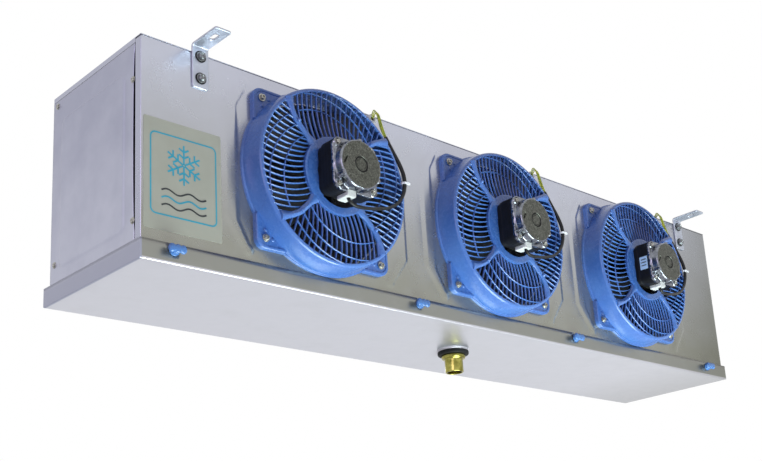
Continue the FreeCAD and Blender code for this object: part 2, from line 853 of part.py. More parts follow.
def lead_tie():
    """A tie round the lead and the guard's rim, with its cut tail."""
    before, after = lead_route()[9:11]
    at = before + (after - before) * ((tie_height - before.z) / (after.z - before.z))
    low = at.z - tie_width / 2
    high = at.z + tie_width / 2
    near = at.y - lead_radius
    loop = rod(lead_radius + tie_sheet, V(at.x, at.y, low), Z_AXIS, tie_width)
    rim = guard_rim_radius - guard_rim_round - 3
    strap = box(rim, at.x, at.y - tie_sheet / 2, face_front + guard_face, low, high)
    tail = box(at.x, at.x + tie_tail, near - tie_sheet, near, low, high)
    return fuse([loop, strap, tail]).cut(arc_tube(lead_route(), lead_radius, "tie")).cut(guard_ring())


# Coil

def tube_y(column):
    return coil_front + tube_side + tube_pitch * column


def tube_z(level):
    return coil_low + tube_side + tube_pitch * level


def u_bend(end_x, column, level, outwards):
    """Half a ring between this tube level and the next, standing out from the tube ends."""
    ring = Part.makeTorus(tube_pitch / 2, tube_radius, ORIGIN, Y_AXIS, -180, 180, 180)
    ring.translate(V(0, 0, 0))
    centre = ring.CenterOfMass
    ring.rotate(ORIGIN, Y_AXIS, math.degrees(math.atan2(centre.z, centre.x)) - (0 if outwards > 0 else 180))
    ring.translate(V(end_x, tube_y(column), tube_z(level) + tube_pitch / 2))
    return ring


def coil_hairpins():
    pins = []
    x0 = sheet_left - tube_proud
    x1 = sheet_right + tube_proud
    for column in range(tube_columns):
        for level in range(0, tube_levels, 2):
            legs = [rod(tube_radius, V(x0, tube_y(column), tube_z(level + step)), X_AXIS, x1 - x0)
                    for step in (0, 1)]
            pins.append(fuse(legs + [u_bend(x0, column, level, -1)]))
    return pins


def coil_return_bends():
    x1 = sheet_right + tube_proud
    return [u_bend(x1, column, level, 1)
            for column in range(tube_columns) for level in range(1, tube_levels - 1, 2)]


def coil_fins():
    count = int((sheet_right - sheet_left - 2 * coil_plate) / fin_pitch)
    start = (sheet_left + sheet_right - (count - 1) * fin_pitch) / 2
    xs = [start + i * fin_pitch for i in range(count)]
    return [box(x, x + fin_sheet, coil_front, coil_rear, coil_low, coil_top) for x in xs]


def tube_plate(face, outwards, pipes):
    """A bulkhead at the coil's end, closing the bay at the rear, with a flange behind the end cover."""
    end = left if outwards < 0 else right
    span = sorted((face, face - outwards * coil_plate))
    plate = box(*span, front + sheet, rear - sheet, bottom, top - sheet)
    plate = plate.cut(box(*span, front, front + side_return + 2, top - 3 * sheet, top))
    closure = box(*sorted((face - outwards * coil_plate, end - outwards * sheet)), rear - sheet, rear,
                  bottom, top - roof_rear_lip - roof_seam)
    edge = sorted((end - outwards * sheet, end - outwards * 2 * sheet))
    flange = box(*edge, rear - end_flange, rear - sheet, bottom, cover_top)
    body = fuse([plate, closure, flange])
    holes = [rod(tube_radius, V(face - 10, tube_y(column), tube_z(level)), X_AXIS, 20)
             for column in range(tube_columns) for level in range(tube_levels)]
    holes += [rod(radius + pipe_grommet_wall, V(x, rear - 2 * sheet, z), Y_AXIS, 3 * sheet)
              for x, z, radius in pipes]
    holes += [rod(cover_screw_radius, V(end - outwards * 5, y, z), V(outwards, 0, 0), 6)
              for y, z in cover_screw_places()[2:]]
    return body.cut(Part.makeCompound(holes)).cut(rear_bolt_holes())


def header(radius, offset, level, drop):
    """A pipe with stubs to the tubes of one level, and an open end with a stop bead behind the casing."""
    x = sheet_right + offset
    z = tube_z(level)
    start = tube_y(0) - tube_radius - pipe_wall
    length = rear + stub_reach - start
    stubs = [rod(tube_radius, V(sheet_right + tube_proud, tube_y(column), z), X_AXIS, offset - tube_proud)
             for column in range(tube_columns)]
    stop_start = V(x, rear + pipe_grommet_collar + running_gap, z - drop)
    stop = rod(radius + stub_stop_rise, stop_start, Y_AXIS, stub_stop)
    body = fuse([rod(radius, V(x, start, z - drop), Y_AXIS, length), stop] + stubs)
    return body.cut(rod(radius - pipe_wall, V(x, start + pipe_wall, z - drop), Y_AXIS, length))


def suction_header():
    return header(suction_radius, suction_offset, tube_levels - 1, suction_drop)


def liquid_header():
    return header(liquid_radius, liquid_offset, 0, 0)


def cover_grommet(x, z, radius):
    neck = radius + pipe_grommet_wall
    outer = neck + pipe_grommet_collar
    collar = rod(outer, V(x, rear, z), Y_AXIS, pipe_grommet_collar)
    sleeve = rod(neck, V(x, rear - sheet, z), Y_AXIS, sheet)
    inner = rod(outer, V(x, rear - sheet, z), -Y_AXIS, pipe_grommet_collar)
    return fuse([collar, sleeve, inner]).cut(rod(radius, V(x, rear - 20, z), Y_AXIS, 40))


def cover_grommets():
    return [cover_grommet(*place) for place in pipe_places() + supply_place()]


def box_corner():
    return V(sheet_left - box_length, front + box_behind_panel, top - box_drop - box_height)


def terminal_box():
    corner = box_corner()
    outer = Part.makeBox(box_length, box_depth, box_height, corner)
    inner = Part.makeBox(box_length - box_wall + 1, box_depth - 2 * box_wall, box_height - 2 * box_wall,
                         corner + V(-1, box_wall, box_wall))
    return outer.cut(inner)


def terminal_box_lid():
    corner = box_corner() - V(box_lid, 0, 0)
    return Part.makeBox(box_lid, box_depth, box_height, corner)


# Drain pan, its hinge and its knobs

def drain_pan():
    tray = box(pan_left, pan_right, pan_front, pan_rear, pan_low, pan_top)
    tray = tray.makeFillet(pan_corner, edges_at_z(tray, pan_low))
    floor = pan_low + sheet
    hollow = box(pan_left + sheet, pan_right - sheet, pan_front + sheet, pan_rear - sheet, floor, pan_top + 1)
    tray = tray.cut(hollow.makeFillet(pan_corner - sheet, edges_at_z(hollow, floor)))
    half = stud_slot / 2
    wall_rear = pan_front + sheet + 0.5
    for x in knob_places:
        notch = box(x - half, x + half, pan_front - 1, wall_rear, stud_z, pan_top + 1)
        tray = tray.cut(notch.fuse(rod(half, V(x, pan_front - 1, stud_z), Y_AXIS, sheet + 1.5)))
    centre = V(drain_x, drain_y, pan_low)
    disc = rod(drain_disc_radius, centre, -Z_AXIS, drain_disc)
    neck = rod(drain_neck_radius, centre + V(0, 0, sheet), -Z_AXIS, drain_neck + sheet)
    return fuse([tray, disc, neck]).cut(rod(nipple_radius, centre + V(0, 0, 2 * sheet), -Z_AXIS, 20))


def drain_washer():
    start = V(drain_x, drain_y, pan_low - drain_neck)
    disc = rod(washer_radius, start, -Z_AXIS, washer_height)
    disc = disc.makeFillet(washer_round, [e for e in disc.Edges if len(e.Vertexes) == 1])
    return disc.cut(rod(nipple_radius, start, -Z_AXIS, washer_height))


def drain_nipple():
    start = V(drain_x, drain_y, pan_low - drain_neck - washer_height)
    flange = rod(nipple_flange_radius, start, -Z_AXIS, nipple_flange_height)
    upper = rod(nipple_radius, start, Z_AXIS, washer_height + drain_neck + sheet + nut_height)
    lower = rod(nipple_radius, start, -Z_AXIS, nipple_flange_height + nipple_length)
    return fuse([flange, upper, lower]).cut(rod(nipple_bore, start + V(0, 0, 40), -Z_AXIS, 100))


def drain_nut():
    start = V(drain_x, drain_y, pan_low + sheet)
    return hexagon(nut_across, start, Z_AXIS, nut_height).cut(rod(nipple_radius, start, Z_AXIS, nut_height))


def rear_hinge_rail():
    """An angle under the coil's rear edge, with the fixed knuckles and their pins."""
    low = hinge_z - hinge_barrel
    start = sheet_left + coil_plate
    end = sheet_right - coil_plate
    pieces = [box(start, end, rear - sheet, rear, low, bottom + rail_rise),
              box(start, end, rear - rail_shelf, rear, bottom + rail_rise - sheet, bottom + rail_rise)]
    half = fixed_knuckle / 2
    web_low = hinge_z - leaf_sheet / 2
    for x in hinge_places:
        pieces.append(box(x - half, x + half, rear - sheet, hinge_y, web_low, web_low + leaf_sheet))
        pieces.append(rod(hinge_barrel, V(x - half, hinge_y, hinge_z), X_AXIS, fixed_knuckle))
        reach = half + knuckle_gap + moving_knuckle
        pieces.append(rod(hinge_pin, V(x - reach, hinge_y, hinge_z), X_AXIS, 2 * reach))
    return fuse(pieces)


def pan_hinge_leaves():
    leaves = []
    wall = pan_rear - sheet
    for x in hinge_places:
        for side in (-1, 1):
            start = fixed_knuckle / 2 + knuckle_gap
            span = sorted((x + side * start, x + side * (start + moving_knuckle)))
            foot = box(*span, wall - leaf_sheet, wall, hinge_z - hinge_barrel, hinge_z + hinge_barrel)
            web = box(*span, hinge_y, wall, hinge_z - leaf_sheet / 2, hinge_z + leaf_sheet / 2)
            barrel = rod(hinge_barrel, V(span[0], hinge_y, hinge_z), X_AXIS, moving_knuckle)
            bore = rod(hinge_pin + running_gap, V(span[0], hinge_y, hinge_z), X_AXIS, moving_knuckle)
            leaves.append(fuse([foot, web, barrel]).cut(bore))
    return leaves


def knob_studs():
    studs = []
    for x in knob_places:
        nut = hexagon(bolt_head_across, V(x, front + sheet, stud_z), Y_AXIS, bolt_nut_height)
        studs.append(fuse([nut, rod(stud_radius, V(x, front + sheet, stud_z), -Y_AXIS, sheet + stud_length)]))
    return studs


def pan_knob(x):
    """A quarter-turn wing knob: a round collar, a hub and a wing that is thick at its waisted middle."""
    start = V(x, pan_front - 0.3, stud_z)
    collar = rod(knob_collar_radius, start, -Y_AXIS, knob_collar)
    hub = rod(knob_hub_radius, start, -Y_AXIS, knob_depth)
    half = knob_wing_length / 2
    tall = knob_wing_height / 2
    waist = 0.6 * tall
    shoulder = 0.62 * half
    outline = [(-half, -0.5 * tall), (-shoulder, -tall), (0, -waist), (shoulder, -tall), (half, -0.5 * tall),
               (half, 0.5 * tall), (shoulder, tall), (0, waist), (-shoulder, tall), (-half, 0.5 * tall)]
    wing = polygon_prism(outline, -knob_wing_sheet, 0)
    wing = wing.makeChamfer(1.2, edges_at_y(wing, -knob_wing_sheet))
    wing.translate(V(x, start.y - knob_depth + knob_wing_sheet, stud_z))
    knob = fuse([collar, hub, wing])
    depth = stud_length - (front - start.y) + running_gap + 1
    return knob.cut(rod(stud_radius + running_gap, start, -Y_AXIS, depth))


def save(name, shape):
    solids = shape if isinstance(shape, list) else [shape]
    loose = [solid for part in solids for solid in part.Solids]
    whole = loose[0] if len(loose) == 1 else Part.makeCompound(loose)
    whole.exportStep(os.path.join("parts", name + ".step"))


def main():
    os.makedirs("parts", exist_ok=True)
    save("front_panel", front_panel())
    save("top_panel", top_panel())
    save("left_end_cover", end_cover())
    save("right_end_cover", mirror_x(end_cover()))
    save("end_cover_screws", end_cover_screws())
    for side, x in zip(("left", "right"), bracket_xs()):
        save("bracket_front_" + side, hanging_bracket(x, -1))
        save("bracket_rear_" + side, hanging_bracket(x, 1))
    save("bracket_bolts", bracket_bolts())
    save("front_label", front_label())
    save("coil_fins", coil_fins())
    save("coil_hairpins", coil_hairpins())
    save("coil_return_bends", coil_return_bends())
    save("tube_sheet_left", tube_plate(sheet_left, -1, supply_place()))
    save("tube_sheet_right", tube_plate(sheet_right, 1, pipe_places()))
    save("suction_header", suction_header())
    save("liquid_header", liquid_header())
    save("cover_grommets", cover_grommets())
    save("terminal_box", terminal_box())
    save("terminal_box_lid", terminal_box_lid())
    save("knob_studs", knob_studs())
    save("rear_hinge_rail", rear_hinge_rail())
    save("lead_grommets", at_each_fan(lead_grommet()))
    save("lead_ties", at_each_fan(lead_tie()))
    save("guard_screws", guard_screws())
    save("motor_screws", motor_screws())
    fan_pieces = {"fan_guard": fan_guard(), "motor_stator": motor_stator(), "motor_cap": motor_cap(),
                  "motor_rear_shield": motor_rear_shield(), "rotor": rotor(), "impeller": impeller()}
    for name, shape in fan_pieces.items():
        for index, copy in enumerate(at_each_fan(shape)):
            save("%s_%d" % (name, index + 1), copy)
    for index in range(fan_count):
        save("motor_lead_%d" % (index + 1), motor_lead(index))
        save("lead_wires_%d" % (index + 1), lead_wires(index))
    save("drain_pan", drain_pan())
    save("drain_washer", drain_washer())
    save("drain_nipple", drain_nipple())
    save("drain_nut", drain_nut())
    save("pan_hinge_leaves", pan_hinge_leaves())
    for index, x in enumerate(knob_places):
        save("pan_knob_%d" % (index + 1), pan_knob(x))


main()
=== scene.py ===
import json
import math

import bmesh
import bpy
import numpy as np
from mathutils import Matrix, Vector


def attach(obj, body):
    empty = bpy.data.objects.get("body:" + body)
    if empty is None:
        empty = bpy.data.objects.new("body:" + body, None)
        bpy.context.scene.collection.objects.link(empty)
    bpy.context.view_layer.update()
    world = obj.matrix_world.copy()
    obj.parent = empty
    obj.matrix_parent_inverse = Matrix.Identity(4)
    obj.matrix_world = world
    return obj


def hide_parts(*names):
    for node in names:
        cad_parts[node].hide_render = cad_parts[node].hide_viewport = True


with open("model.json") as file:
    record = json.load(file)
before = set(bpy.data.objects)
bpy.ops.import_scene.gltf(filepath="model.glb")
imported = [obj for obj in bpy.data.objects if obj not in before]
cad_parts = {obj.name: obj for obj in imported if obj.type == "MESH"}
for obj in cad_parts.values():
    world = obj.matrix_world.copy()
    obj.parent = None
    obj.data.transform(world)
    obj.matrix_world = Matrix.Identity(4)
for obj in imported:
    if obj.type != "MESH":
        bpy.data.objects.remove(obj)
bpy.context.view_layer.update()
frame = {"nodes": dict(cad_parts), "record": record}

# Sizes are in mm, in the part's own frame, until a mesh is written in metres. What belongs to a fan is drawn round
# the fan's axis, from the panel's face towards -y, and then shifted.
FRONT = -126.0
TOP = -12.0
BOTTOM = -315.0
PANEL_LOW, PANEL_HIGH = -335.0, -13.2
END = 712.0
SHEET = 1.2
FAN_XS = (-400.0, 0.0, 400.0)
FAN_Z = -166.0
FANS = [(i + 1, (x, FRONT, FAN_Z)) for i, x in enumerate(FAN_XS)]
FAN_HOLES = [((x, FAN_Z), (x, FAN_Z), 131.0) for x in FAN_XS]
CORNERS = [(sx, sz) for sx in (-1, 1) for sz in (-1, 1)]
GUARD_SCREW = 112.0
MOTOR_SCREW = 33.0
STATOR_HALF, STATOR_CORNER = 42.0, 14.0
STATOR_BACK, CAP_SEAT = -46.0, -80.0
KNOB_XS = (-662.5, -201.5, 202.5, 648.0)
STUD_Z = -325.5
DRAIN = (7.0, 2.0)
PAN_LOW = -345.0
BRACKET_XS = (-616.0, 606.5)


def placed(name, data):
    """A new object of the data, in the scene."""
    made = bpy.data.objects.new(name, data)
    bpy.context.scene.collection.objects.link(made)
    return made


# Camera, from the photograph's vanishing points and the part's corners

def place_camera():
    """Right, down and ahead are the image's axes in the part's frame; focal length and centre are in pixels."""
    right = (0.71490, -0.69612, -0.06587)
    down = (0.14603, 0.24077, -0.95953)
    ahead = (0.68381, 0.67635, 0.27378)
    place = (-1.47010, -1.39571, -0.86642)
    focal, centre = 1154.37, (426.14, 321.78)
    width, height, sensor = 762, 461, 36.0
    data = bpy.data.cameras.new("camera")
    camera = placed("camera", data)
    rows = zip(right, [-v for v in down], [-v for v in ahead], place)
    camera.matrix_world = Matrix([*rows, (0, 0, 0, 1)])
    data.sensor_width = sensor
    data.lens = focal / width * sensor
    data.shift_x = -(centre[0] - width / 2) / width
    data.shift_y = (centre[1] - height / 2) / width
    data.clip_end = 50
    bpy.context.scene.camera = camera


# Materials

def shade(code):
    """An sRGB hex colour as linear light."""
    parts = [int(code[i:i + 2], 16) / 255 for i in (1, 3, 5)]
    return [c / 12.92 if c <= 0.04045 else ((c + 0.055) / 1.055) ** 2.4 for c in parts] + [1.0]


def add(tree, kind, links=(), **settings):
    """One node: each setting is a property or a socket of that name, each link a socket and what feeds it."""
    made = tree.nodes.new("ShaderNode" + kind)
    for name, value in settings.items():
        if hasattr(made, name):
            setattr(made, name, value)
        else:
            made.inputs[name.replace("_", " ")].default_value = value
    for socket, source in links:
        tree.links.new(source, made.inputs[socket])
    return made


def ramp(tree, source, *stops):
    """A colour ramp through the given places and sRGB hex colours."""
    made = add(tree, "ValToRGB", [("Fac", source)])
    marks = made.color_ramp.elements
    while len(marks) < len(stops):
        marks.new(0.5)
    for mark, (place, colour) in zip(marks, stops):
        mark.position = place
        mark.color = shade(colour)
    return made.outputs["Color"]


def span(tree, source, low, high):
    """Maps 0..1 to low..high."""
    return add(tree, "MapRange", [("Value", source)], To_Min=low, To_Max=high).outputs["Result"]


def share(tree, source, low, high):
    """Maps low..high to 0..1."""
    return add(tree, "MapRange", [("Value", source)], From_Min=low, From_Max=high).outputs["Result"]


def finish(name, colour, roughness, metallic=0.0, **shader):
    """A Principled material with constants on its own sockets; returns it with its tree and shader."""
    material = bpy.data.materials.new(name)
    material.use_nodes = True
    tree = material.node_tree
    node = tree.nodes["Principled BSDF"]
    shader.update(Base_Color=shade(colour), Roughness=roughness, Metallic=metallic)
    for socket, value in shader.items():
        node.inputs[socket.replace("_", " ")].default_value = value
    material.diffuse_color = shade(colour)
    return material, tree, node


def places(tree, scale=(1.0, 1.0, 1.0)):
    """Object coordinates in metres, stretched."""
    seat = add(tree, "TexCoord").outputs["Object"]
    return add(tree, "Mapping", [("Vector", seat)], Scale=scale).outputs["Vector"]


def grain(tree, size_mm, detail=3.0, scale=(1.0, 1.0, 1.0), rough=0.55):
    """Noise whose largest blotches are size_mm across."""
    return add(tree, "TexNoise", [("Vector", places(tree, scale))], Scale=1000.0 / size_mm, Detail=detail,
               Roughness=rough).outputs["Fac"]


def rings(tree, along, step_mm, wobble, detail):
    """Waves step_mm apart along an axis; at a scale of 1, Blender's waves are 1/20 apart."""
    return add(tree, "TexWave", [("Vector", places(tree))], bands_direction=along, Scale=1000.0 / 20 / step_mm,
               Distortion=wobble, Detail=detail).outputs["Fac"]


def bump(tree, node, source, height_mm, strength=1.0, over=None):
    """Lays a height pattern on the shader's normal, over an earlier one if given."""
    links = [("Height", source)] + ([("Normal", over)] if over else [])
    made = add(tree, "Bump", links, Strength=strength, Distance=height_mm / 1000)
    tree.links.new(made.outputs["Normal"], node.inputs["Normal"])
    return made.outputs["Normal"]


def drift(tree, node, blotch_mm, detail, low, high):
    """Lets the base colour drift between two tones."""
    tree.links.new(ramp(tree, grain(tree, blotch_mm, detail), (0.3, low), (0.7, high)),
                   node.inputs["Base Color"])


def wear(tree, node, blotch_mm, detail, low, high):
    """Lets the roughness drift between two values."""
    tree.links.new(span(tree, grain(tree, blotch_mm, detail), low, high), node.inputs["Roughness"])


def rolled_sheet(name, high, low, roughness, painted_tone_top_z=-0.06, painted_tone_bottom_z=-0.30, right="#FFFFFF", ends=None, cloud=0.16):
    """Cold-rolled aluminium sheet: soft reflections, cloudy patches and fine rolling lines along it. Its tone is
    painted light and shade: it changes between two heights in metres and can darken towards the right end, and the
    left end can have a painted tone of its own."""
    material, tree, node = finish(name, high, roughness, 0.88)
    seat = add(tree, "SeparateXYZ", [("Vector", places(tree))]).outputs
    clouds = span(tree, grain(tree, 55.0, 4.0), -cloud, cloud)
    # Painted light and shade: the tone goes from one colour to the other between two heights.
    level = share(tree, seat["Z"], painted_tone_bottom_z, painted_tone_top_z)
    height = add(tree, "Math", [(0, level), (1, clouds)], operation="ADD").outputs[0]
    # Painted shade: the tone darkens towards the right end.
    painted_shade_right = ramp(tree, share(tree, seat["X"], 0.46, 0.70), (0.0, "#FFFFFF"), (1.0, right))
    tone = add(tree, "VectorMath", [(0, ramp(tree, height, (0.0, low), (1.0, high))), (1, painted_shade_right)],
               operation="MULTIPLY").outputs["Vector"]
    # Painted light and shade: the left end faces take a tone of their own.
    if ends:
        own = add(tree, "RGB").outputs[0]
        own.default_value = shade(ends)
        painted_end_mask = share(tree, seat["X"], -0.7105, -0.7118)
        tone = add(tree, "Mix", [(0, painted_end_mask), (6, tone), (7, own)], data_type="RGBA").outputs[2]
    tree.links.new(tone, node.inputs["Base Color"])
    wear(tree, node, 20.0, 5.0, roughness - 0.05, roughness + 0.07)
    lines = bump(tree, node, grain(tree, 1.2, 2.0, (0.04, 1.0, 1.0)), 0.003, 0.3)
    bump(tree, node, grain(tree, 90.0, 2.0), 0.4, 0.3, lines)
    return material


def plain(name, colour, other, roughness, metallic=0.0, blotch_mm=8.0, grain_mm=1.0, depth_mm=0.02, detail=4.0,
          worn=None, **shader):
    """A finish whose tone drifts between two colours, with a fine surface grain."""
    material, tree, node = finish(name, colour, roughness, metallic, **shader)
    drift(tree, node, blotch_mm, detail, other, colour)
    wear(tree, node, *(worn or (blotch_mm / 2, 3.0, roughness * 0.8, min(1.0, roughness * 1.25))))
    bump(tree, node, grain(tree, grain_mm, 2.0), depth_mm, 0.5)
    return material


def moulded_blue(name, colour, deep):
    """Glossy moulded polypropylene with a faint orange-peel skin."""
    return plain(name, colour, deep, 0.26, 0.0, 45.0, 1.6, 0.02, 2.0, (9.0, 3.0, 0.20, 0.34), IOR=1.49,
                 Coat_Weight=0.2, Coat_Roughness=0.15)


def die_cast(name):
    """Tumbled die-cast zinc: a dull grey skin with light and dark specks, drawn large so that they show."""
    material, tree, node = finish(name, "#7F807A", 0.42, 0.85)
    specks = grain(tree, 1.9, 4.0, rough=0.8)
    tree.links.new(ramp(tree, specks, (0.34, "#30312C"), (0.5, "#4E4F49"), (0.66, "#7C7D75")),
                   node.inputs["Base Color"])
    wear(tree, node, 6.0, 3.0, 0.30, 0.52)
    bump(tree, node, specks, 0.08, 0.6)
    return material


def laminations(name):
    """Stacked steel laminations under black enamel, drawn 1 mm apart so that they show."""
    material, tree, node = finish(name, "#08080B", 0.5, 0.0, IOR=1.45, Specular_IOR_Level=0.25)
    drift(tree, node, 12.0, 3.0, "#070709", "#101014")
    bump(tree, node, rings(tree, "Y", 1.0, 0.6, 2.0), 0.12, 0.6)
    return material


def turned_brass(name):
    """Turned brass: bright, with fine lathe rings 0.8 mm apart round the vertical axis."""
    material, tree, node = finish(name, "#A29C52", 0.15, 1.0)
    drift(tree, node, 10.0, 3.0, "#777232", "#B0A95C")
    bump(tree, node, rings(tree, "Z", 0.8, 0.3, 1.0), 0.03, 0.4)
    return material


# A plain finish's numbers are its roughness, how metallic it is, and the sizes of its blotches and its grain.
FINISHES = {
    # Painted light and shade: the casing sheet is lighter at the top, darker low down and towards the right end,
    # and its left end has a tone of its own; the end cover is lighter towards the bottom.
    "sheet_metal": rolled_sheet("rolled aluminium casing", "#BCBECA", "#94948B", 0.25, -0.03, -0.30,
                                "#C4C4BC", "#A9ABBB"),
    "end_sheet": rolled_sheet("rolled aluminium end cover", "#9EA0B2", "#B3B5C4", 0.36, cloud=0.7),
    # Painted light and shade: the drain pan's underside and bottom bend are painted bright and its walls darker,
    # it darkens towards the right end, and its left end wall has a tone of its own.
    "pan_sheet": rolled_sheet("rolled aluminium drain pan", "#8F8F89", "#C6C4CB", 0.32, -0.3412, -0.3422,
                              "#E4E4E0", "#9B9DAE"),
    "zinc_steel": plain("bright zinc plated steel", "#B9BDC9", "#ACB0BC", 0.38, 0.8, 14.0, 0.8),
    "screw_steel": plain("zinc plated screws", "#B5B4AE", "#84837D", 0.27, 0.95, 3.0, 0.5),
    "bolt_steel": plain("dulled zinc plated bolts", "#8B8D8F", "#616365", 0.30, 0.9, 4.0, 0.5),
    "label": plain("matt printed film", "#908F83", "#8A897D", 0.55, 0.0, 30.0, 0.7, 0.01),
    "tag_blue": plain("pale polyester tag", "#A9C4DE", "#9CB8D4", 0.4, 0.0, 8.0, 0.7, 0.01),
    "label_teal": plain("teal printing", "#22869A", "#1F7C90", 0.5, 0.0, 10.0, 0.7, 0.01),
    "label_dark": plain("dark printing", "#26292C", "#1E2023", 0.5, 0.0, 10.0, 0.7, 0.01),
    "fin_aluminium": plain("aluminium fin stock", "#C2C6C9", "#AEB2B6", 0.45, 0.6, 20.0, 1.5),
    "copper": plain("drawn copper tube", "#B8734A", "#8E5436", 0.32, 1.0, 15.0, 1.0),
    "black_rubber": plain("moulded black rubber", "#08080A", "#050506", 0.6, 0.0, 6.0, 0.6,
                          Specular_IOR_Level=0.2),
    "grey_plastic": plain("moulded grey ABS", "#8D9096", "#83868C", 0.45, 0.0, 20.0, 0.8),
    "grommet_grey": plain("soft clear-grey PVC", "#C2C3C2", "#A9AAA8", 0.38, 0.0, 4.0, 0.8),
    "tie_white": plain("white nylon", "#E4E4E6", "#D2D2D6", 0.4, 0.0, 3.0, 0.6),
    "white_nylon": plain("white nylon bobbin", "#C6C6C4", "#B2B2B0", 0.35, 0.0, 5.0, 0.6),
    "brass": turned_brass("turned brass"),
    "blue_plastic": moulded_blue("moulded blue polypropylene", "#3D63A1", "#365999"),
    "knob_blue": moulded_blue("moulded blue knob", "#406DA8", "#375F96"),
    "black_enamel": laminations("enamelled laminations"),
    "cast_alloy": die_cast("die-cast zinc alloy"),
    "cast_flank": plain("smooth die-cast zinc", "#8F939C", "#6B6E76", 0.2, 1.0, 6.0, 1.0, 0.04),
    "shaft_steel": plain("ground steel", "#9FA0A5", "#8B8C91", 0.25, 1.0, 10.0, 0.5),
    "fan_blade": plain("pressed galvanised blades", "#434448", "#2C2D30", 0.45, 0.6, 18.0, 1.0),
    "lead_black": plain("black PVC sleeve", "#08080A", "#0D0D0F", 0.45, 0.0, 8.0, 0.6, Specular_IOR_Level=0.3),
    "wire": plain("yellow-green insulation", "#B7B22C", "#6E8B2E", 0.36, 0.0, 5.0, 0.5),
    "wire_blue": plain("blue insulation", "#2B55A8", "#244A96", 0.36, 0.0, 5.0, 0.5),
    "wire_brown": plain("brown insulation", "#6A5542", "#5A4737", 0.36, 0.0, 5.0, 0.5),
}


# Surfaces

def quads(batch, rows, cols, close_rows, close_cols):
    """Corners of the quads between neighbouring grid points, row by row, for a batch of equal grids."""
    i = np.arange(rows - (not close_rows))[:, None]
    j = np.arange(cols - (not close_cols))[None, :]
    here, after = i * cols, (i + 1) % rows * cols
    aside = (j + 1) % cols
    one = np.stack((here + j, here + aside, after + aside, after + j), -1).reshape(-1, 4)
    return (np.arange(batch)[:, None, None] * rows * cols + one).reshape(-1, 4)


def write_mesh(name, points, faces, marks):
    """A mesh in metres from points in mm, quads, and a material number for each quad."""
    mesh = bpy.data.meshes.new(name)
    mesh.vertices.add(len(points))
    mesh.vertices.foreach_set("co", (points * 0.001).astype(np.float32).ravel())
    mesh.loops.add(4 * len(faces))
    mesh.loops.foreach_set("vertex_index", faces.astype(np.int32).ravel())
    mesh.polygons.add(len(faces))
    mesh.polygons.foreach_set("loop_start", np.arange(0, 4 * len(faces), 4, dtype=np.int32))
    mesh.polygons.foreach_set("material_index", marks.astype(np.int32))
    mesh.update(calc_edges=True)
    return mesh


def enter(name, data, body, nodes, finishes):
    """Gives the data its finishes and puts the object on its body, in place of its CAD nodes."""
    for key in finishes:
        data.materials.append(FINISHES[key])
    made = placed(name, data)
    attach(made, body)
    if nodes:
        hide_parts(*nodes)
    return made


def settle(name, mesh, body, nodes, finishes, sharp, turn_out=True):
    """Merges seams and poles, turns the faces outwards and puts the piece on its body."""
    work = bmesh.new()
    work.from_mesh(mesh)
    bmesh.ops.remove_doubles(work, verts=work.verts, dist=4e-6)
    if turn_out:
        bmesh.ops.recalc_face_normals(work, faces=work.faces)
    work.to_mesh(mesh)
    work.free()
    mesh.polygons.foreach_set("use_smooth", np.ones(len(mesh.polygons), dtype=bool))
    mesh.set_sharp_from_angle(angle=math.radians(sharp))
    return enter(name, mesh, body, nodes, finishes)


def piece(name, shells, body, nodes, slot, finishes=None, sharp=38.0, shift=(0.0, 0.0, 0.0)):
    """One object from closed shells: each is a grid of points, how it closes, and its material's number."""
    points, faces, marks, start = [], [], [], 0
    for grid, close_rows, close_cols, *mark in shells:
        grid = grid.reshape((-1,) + grid.shape[-3:])
        made = quads(grid.shape[0], grid.shape[1], grid.shape[2], close_rows, close_cols) + start
        points.append(grid.reshape(-1, 3))
        faces.append(made)
        marks.append(np.full(len(made), mark[0] if mark else 0))
        start += len(points[-1])
    points = np.concatenate(points) + np.array(shift)
    mesh = write_mesh(name, points, np.concatenate(faces), np.concatenate(marks))
    return settle(name, mesh, body, nodes, finishes or [slot], sharp)


def turns(count):
    """Angles of a full turn, as a column."""
    return np.linspace(0, 2 * np.pi, count, endpoint=False)[:, None]


def on_circle(radius, angle):
    """Flat points at a radius and an angle."""
    return np.stack((radius * np.cos(angle), radius * np.sin(angle)), -1)


def around(reach, height, turn):
    """Points round the y axis: x and z are the reach times the cosine and sine of the turn, y is the height."""
    return np.stack((reach * np.cos(turn), height + 0 * turn, reach * np.sin(turn)), -1)


def across(run):
    """Flat directions square to a run."""
    return np.stack((-run[..., 1], run[..., 0]), -1)


def unit(run):
    """The same directions, of length 1."""
    return run / np.linalg.norm(run, axis=-1, keepdims=True)


def smooth(value, low, high):
    """A soft step from 0 at low to 1 at high."""
    t = np.clip((value - low) / (high - low), 0, 1)
    return t * t * (3 - 2 * t)


def band(value, start, full, fall, end):
    """A soft band: up from start to full, and down again from fall to end."""
    return smooth(value, start, full) * smooth(-value, -end, -fall)


def round_step(start, corner, end, radius):
    """Points of an arc that rounds the corner between two straight runs of a flat profile."""
    into, out = unit(start - corner), unit(end - corner)
    half = np.arccos(np.clip(into @ out, -1, 1)) / 2
    reach = radius / np.tan(half)
    middle = corner + unit(into + out) * radius / np.sin(half)
    first, last = corner + into * reach - middle, corner + out * reach - middle
    t = np.linspace(0, 1, 5)[:, None]
    whole = np.pi - 2 * half
    return middle + (first * np.sin((1 - t) * whole) + last * np.sin(t * whole)) / np.sin(whole)


def rounded(profile):
    """A closed flat profile of (a, b, radius) corners with each corner rounded by its own radius."""
    rows = np.array(profile, float)
    places, radii = rows[:, :2], rows[:, 2]
    corners = zip(np.roll(places, 1, 0), places, np.roll(places, -1, 0), radii)
    return np.concatenate([round_step(a, b, c, radius) if radius else b[None] for a, b, c, radius in corners])


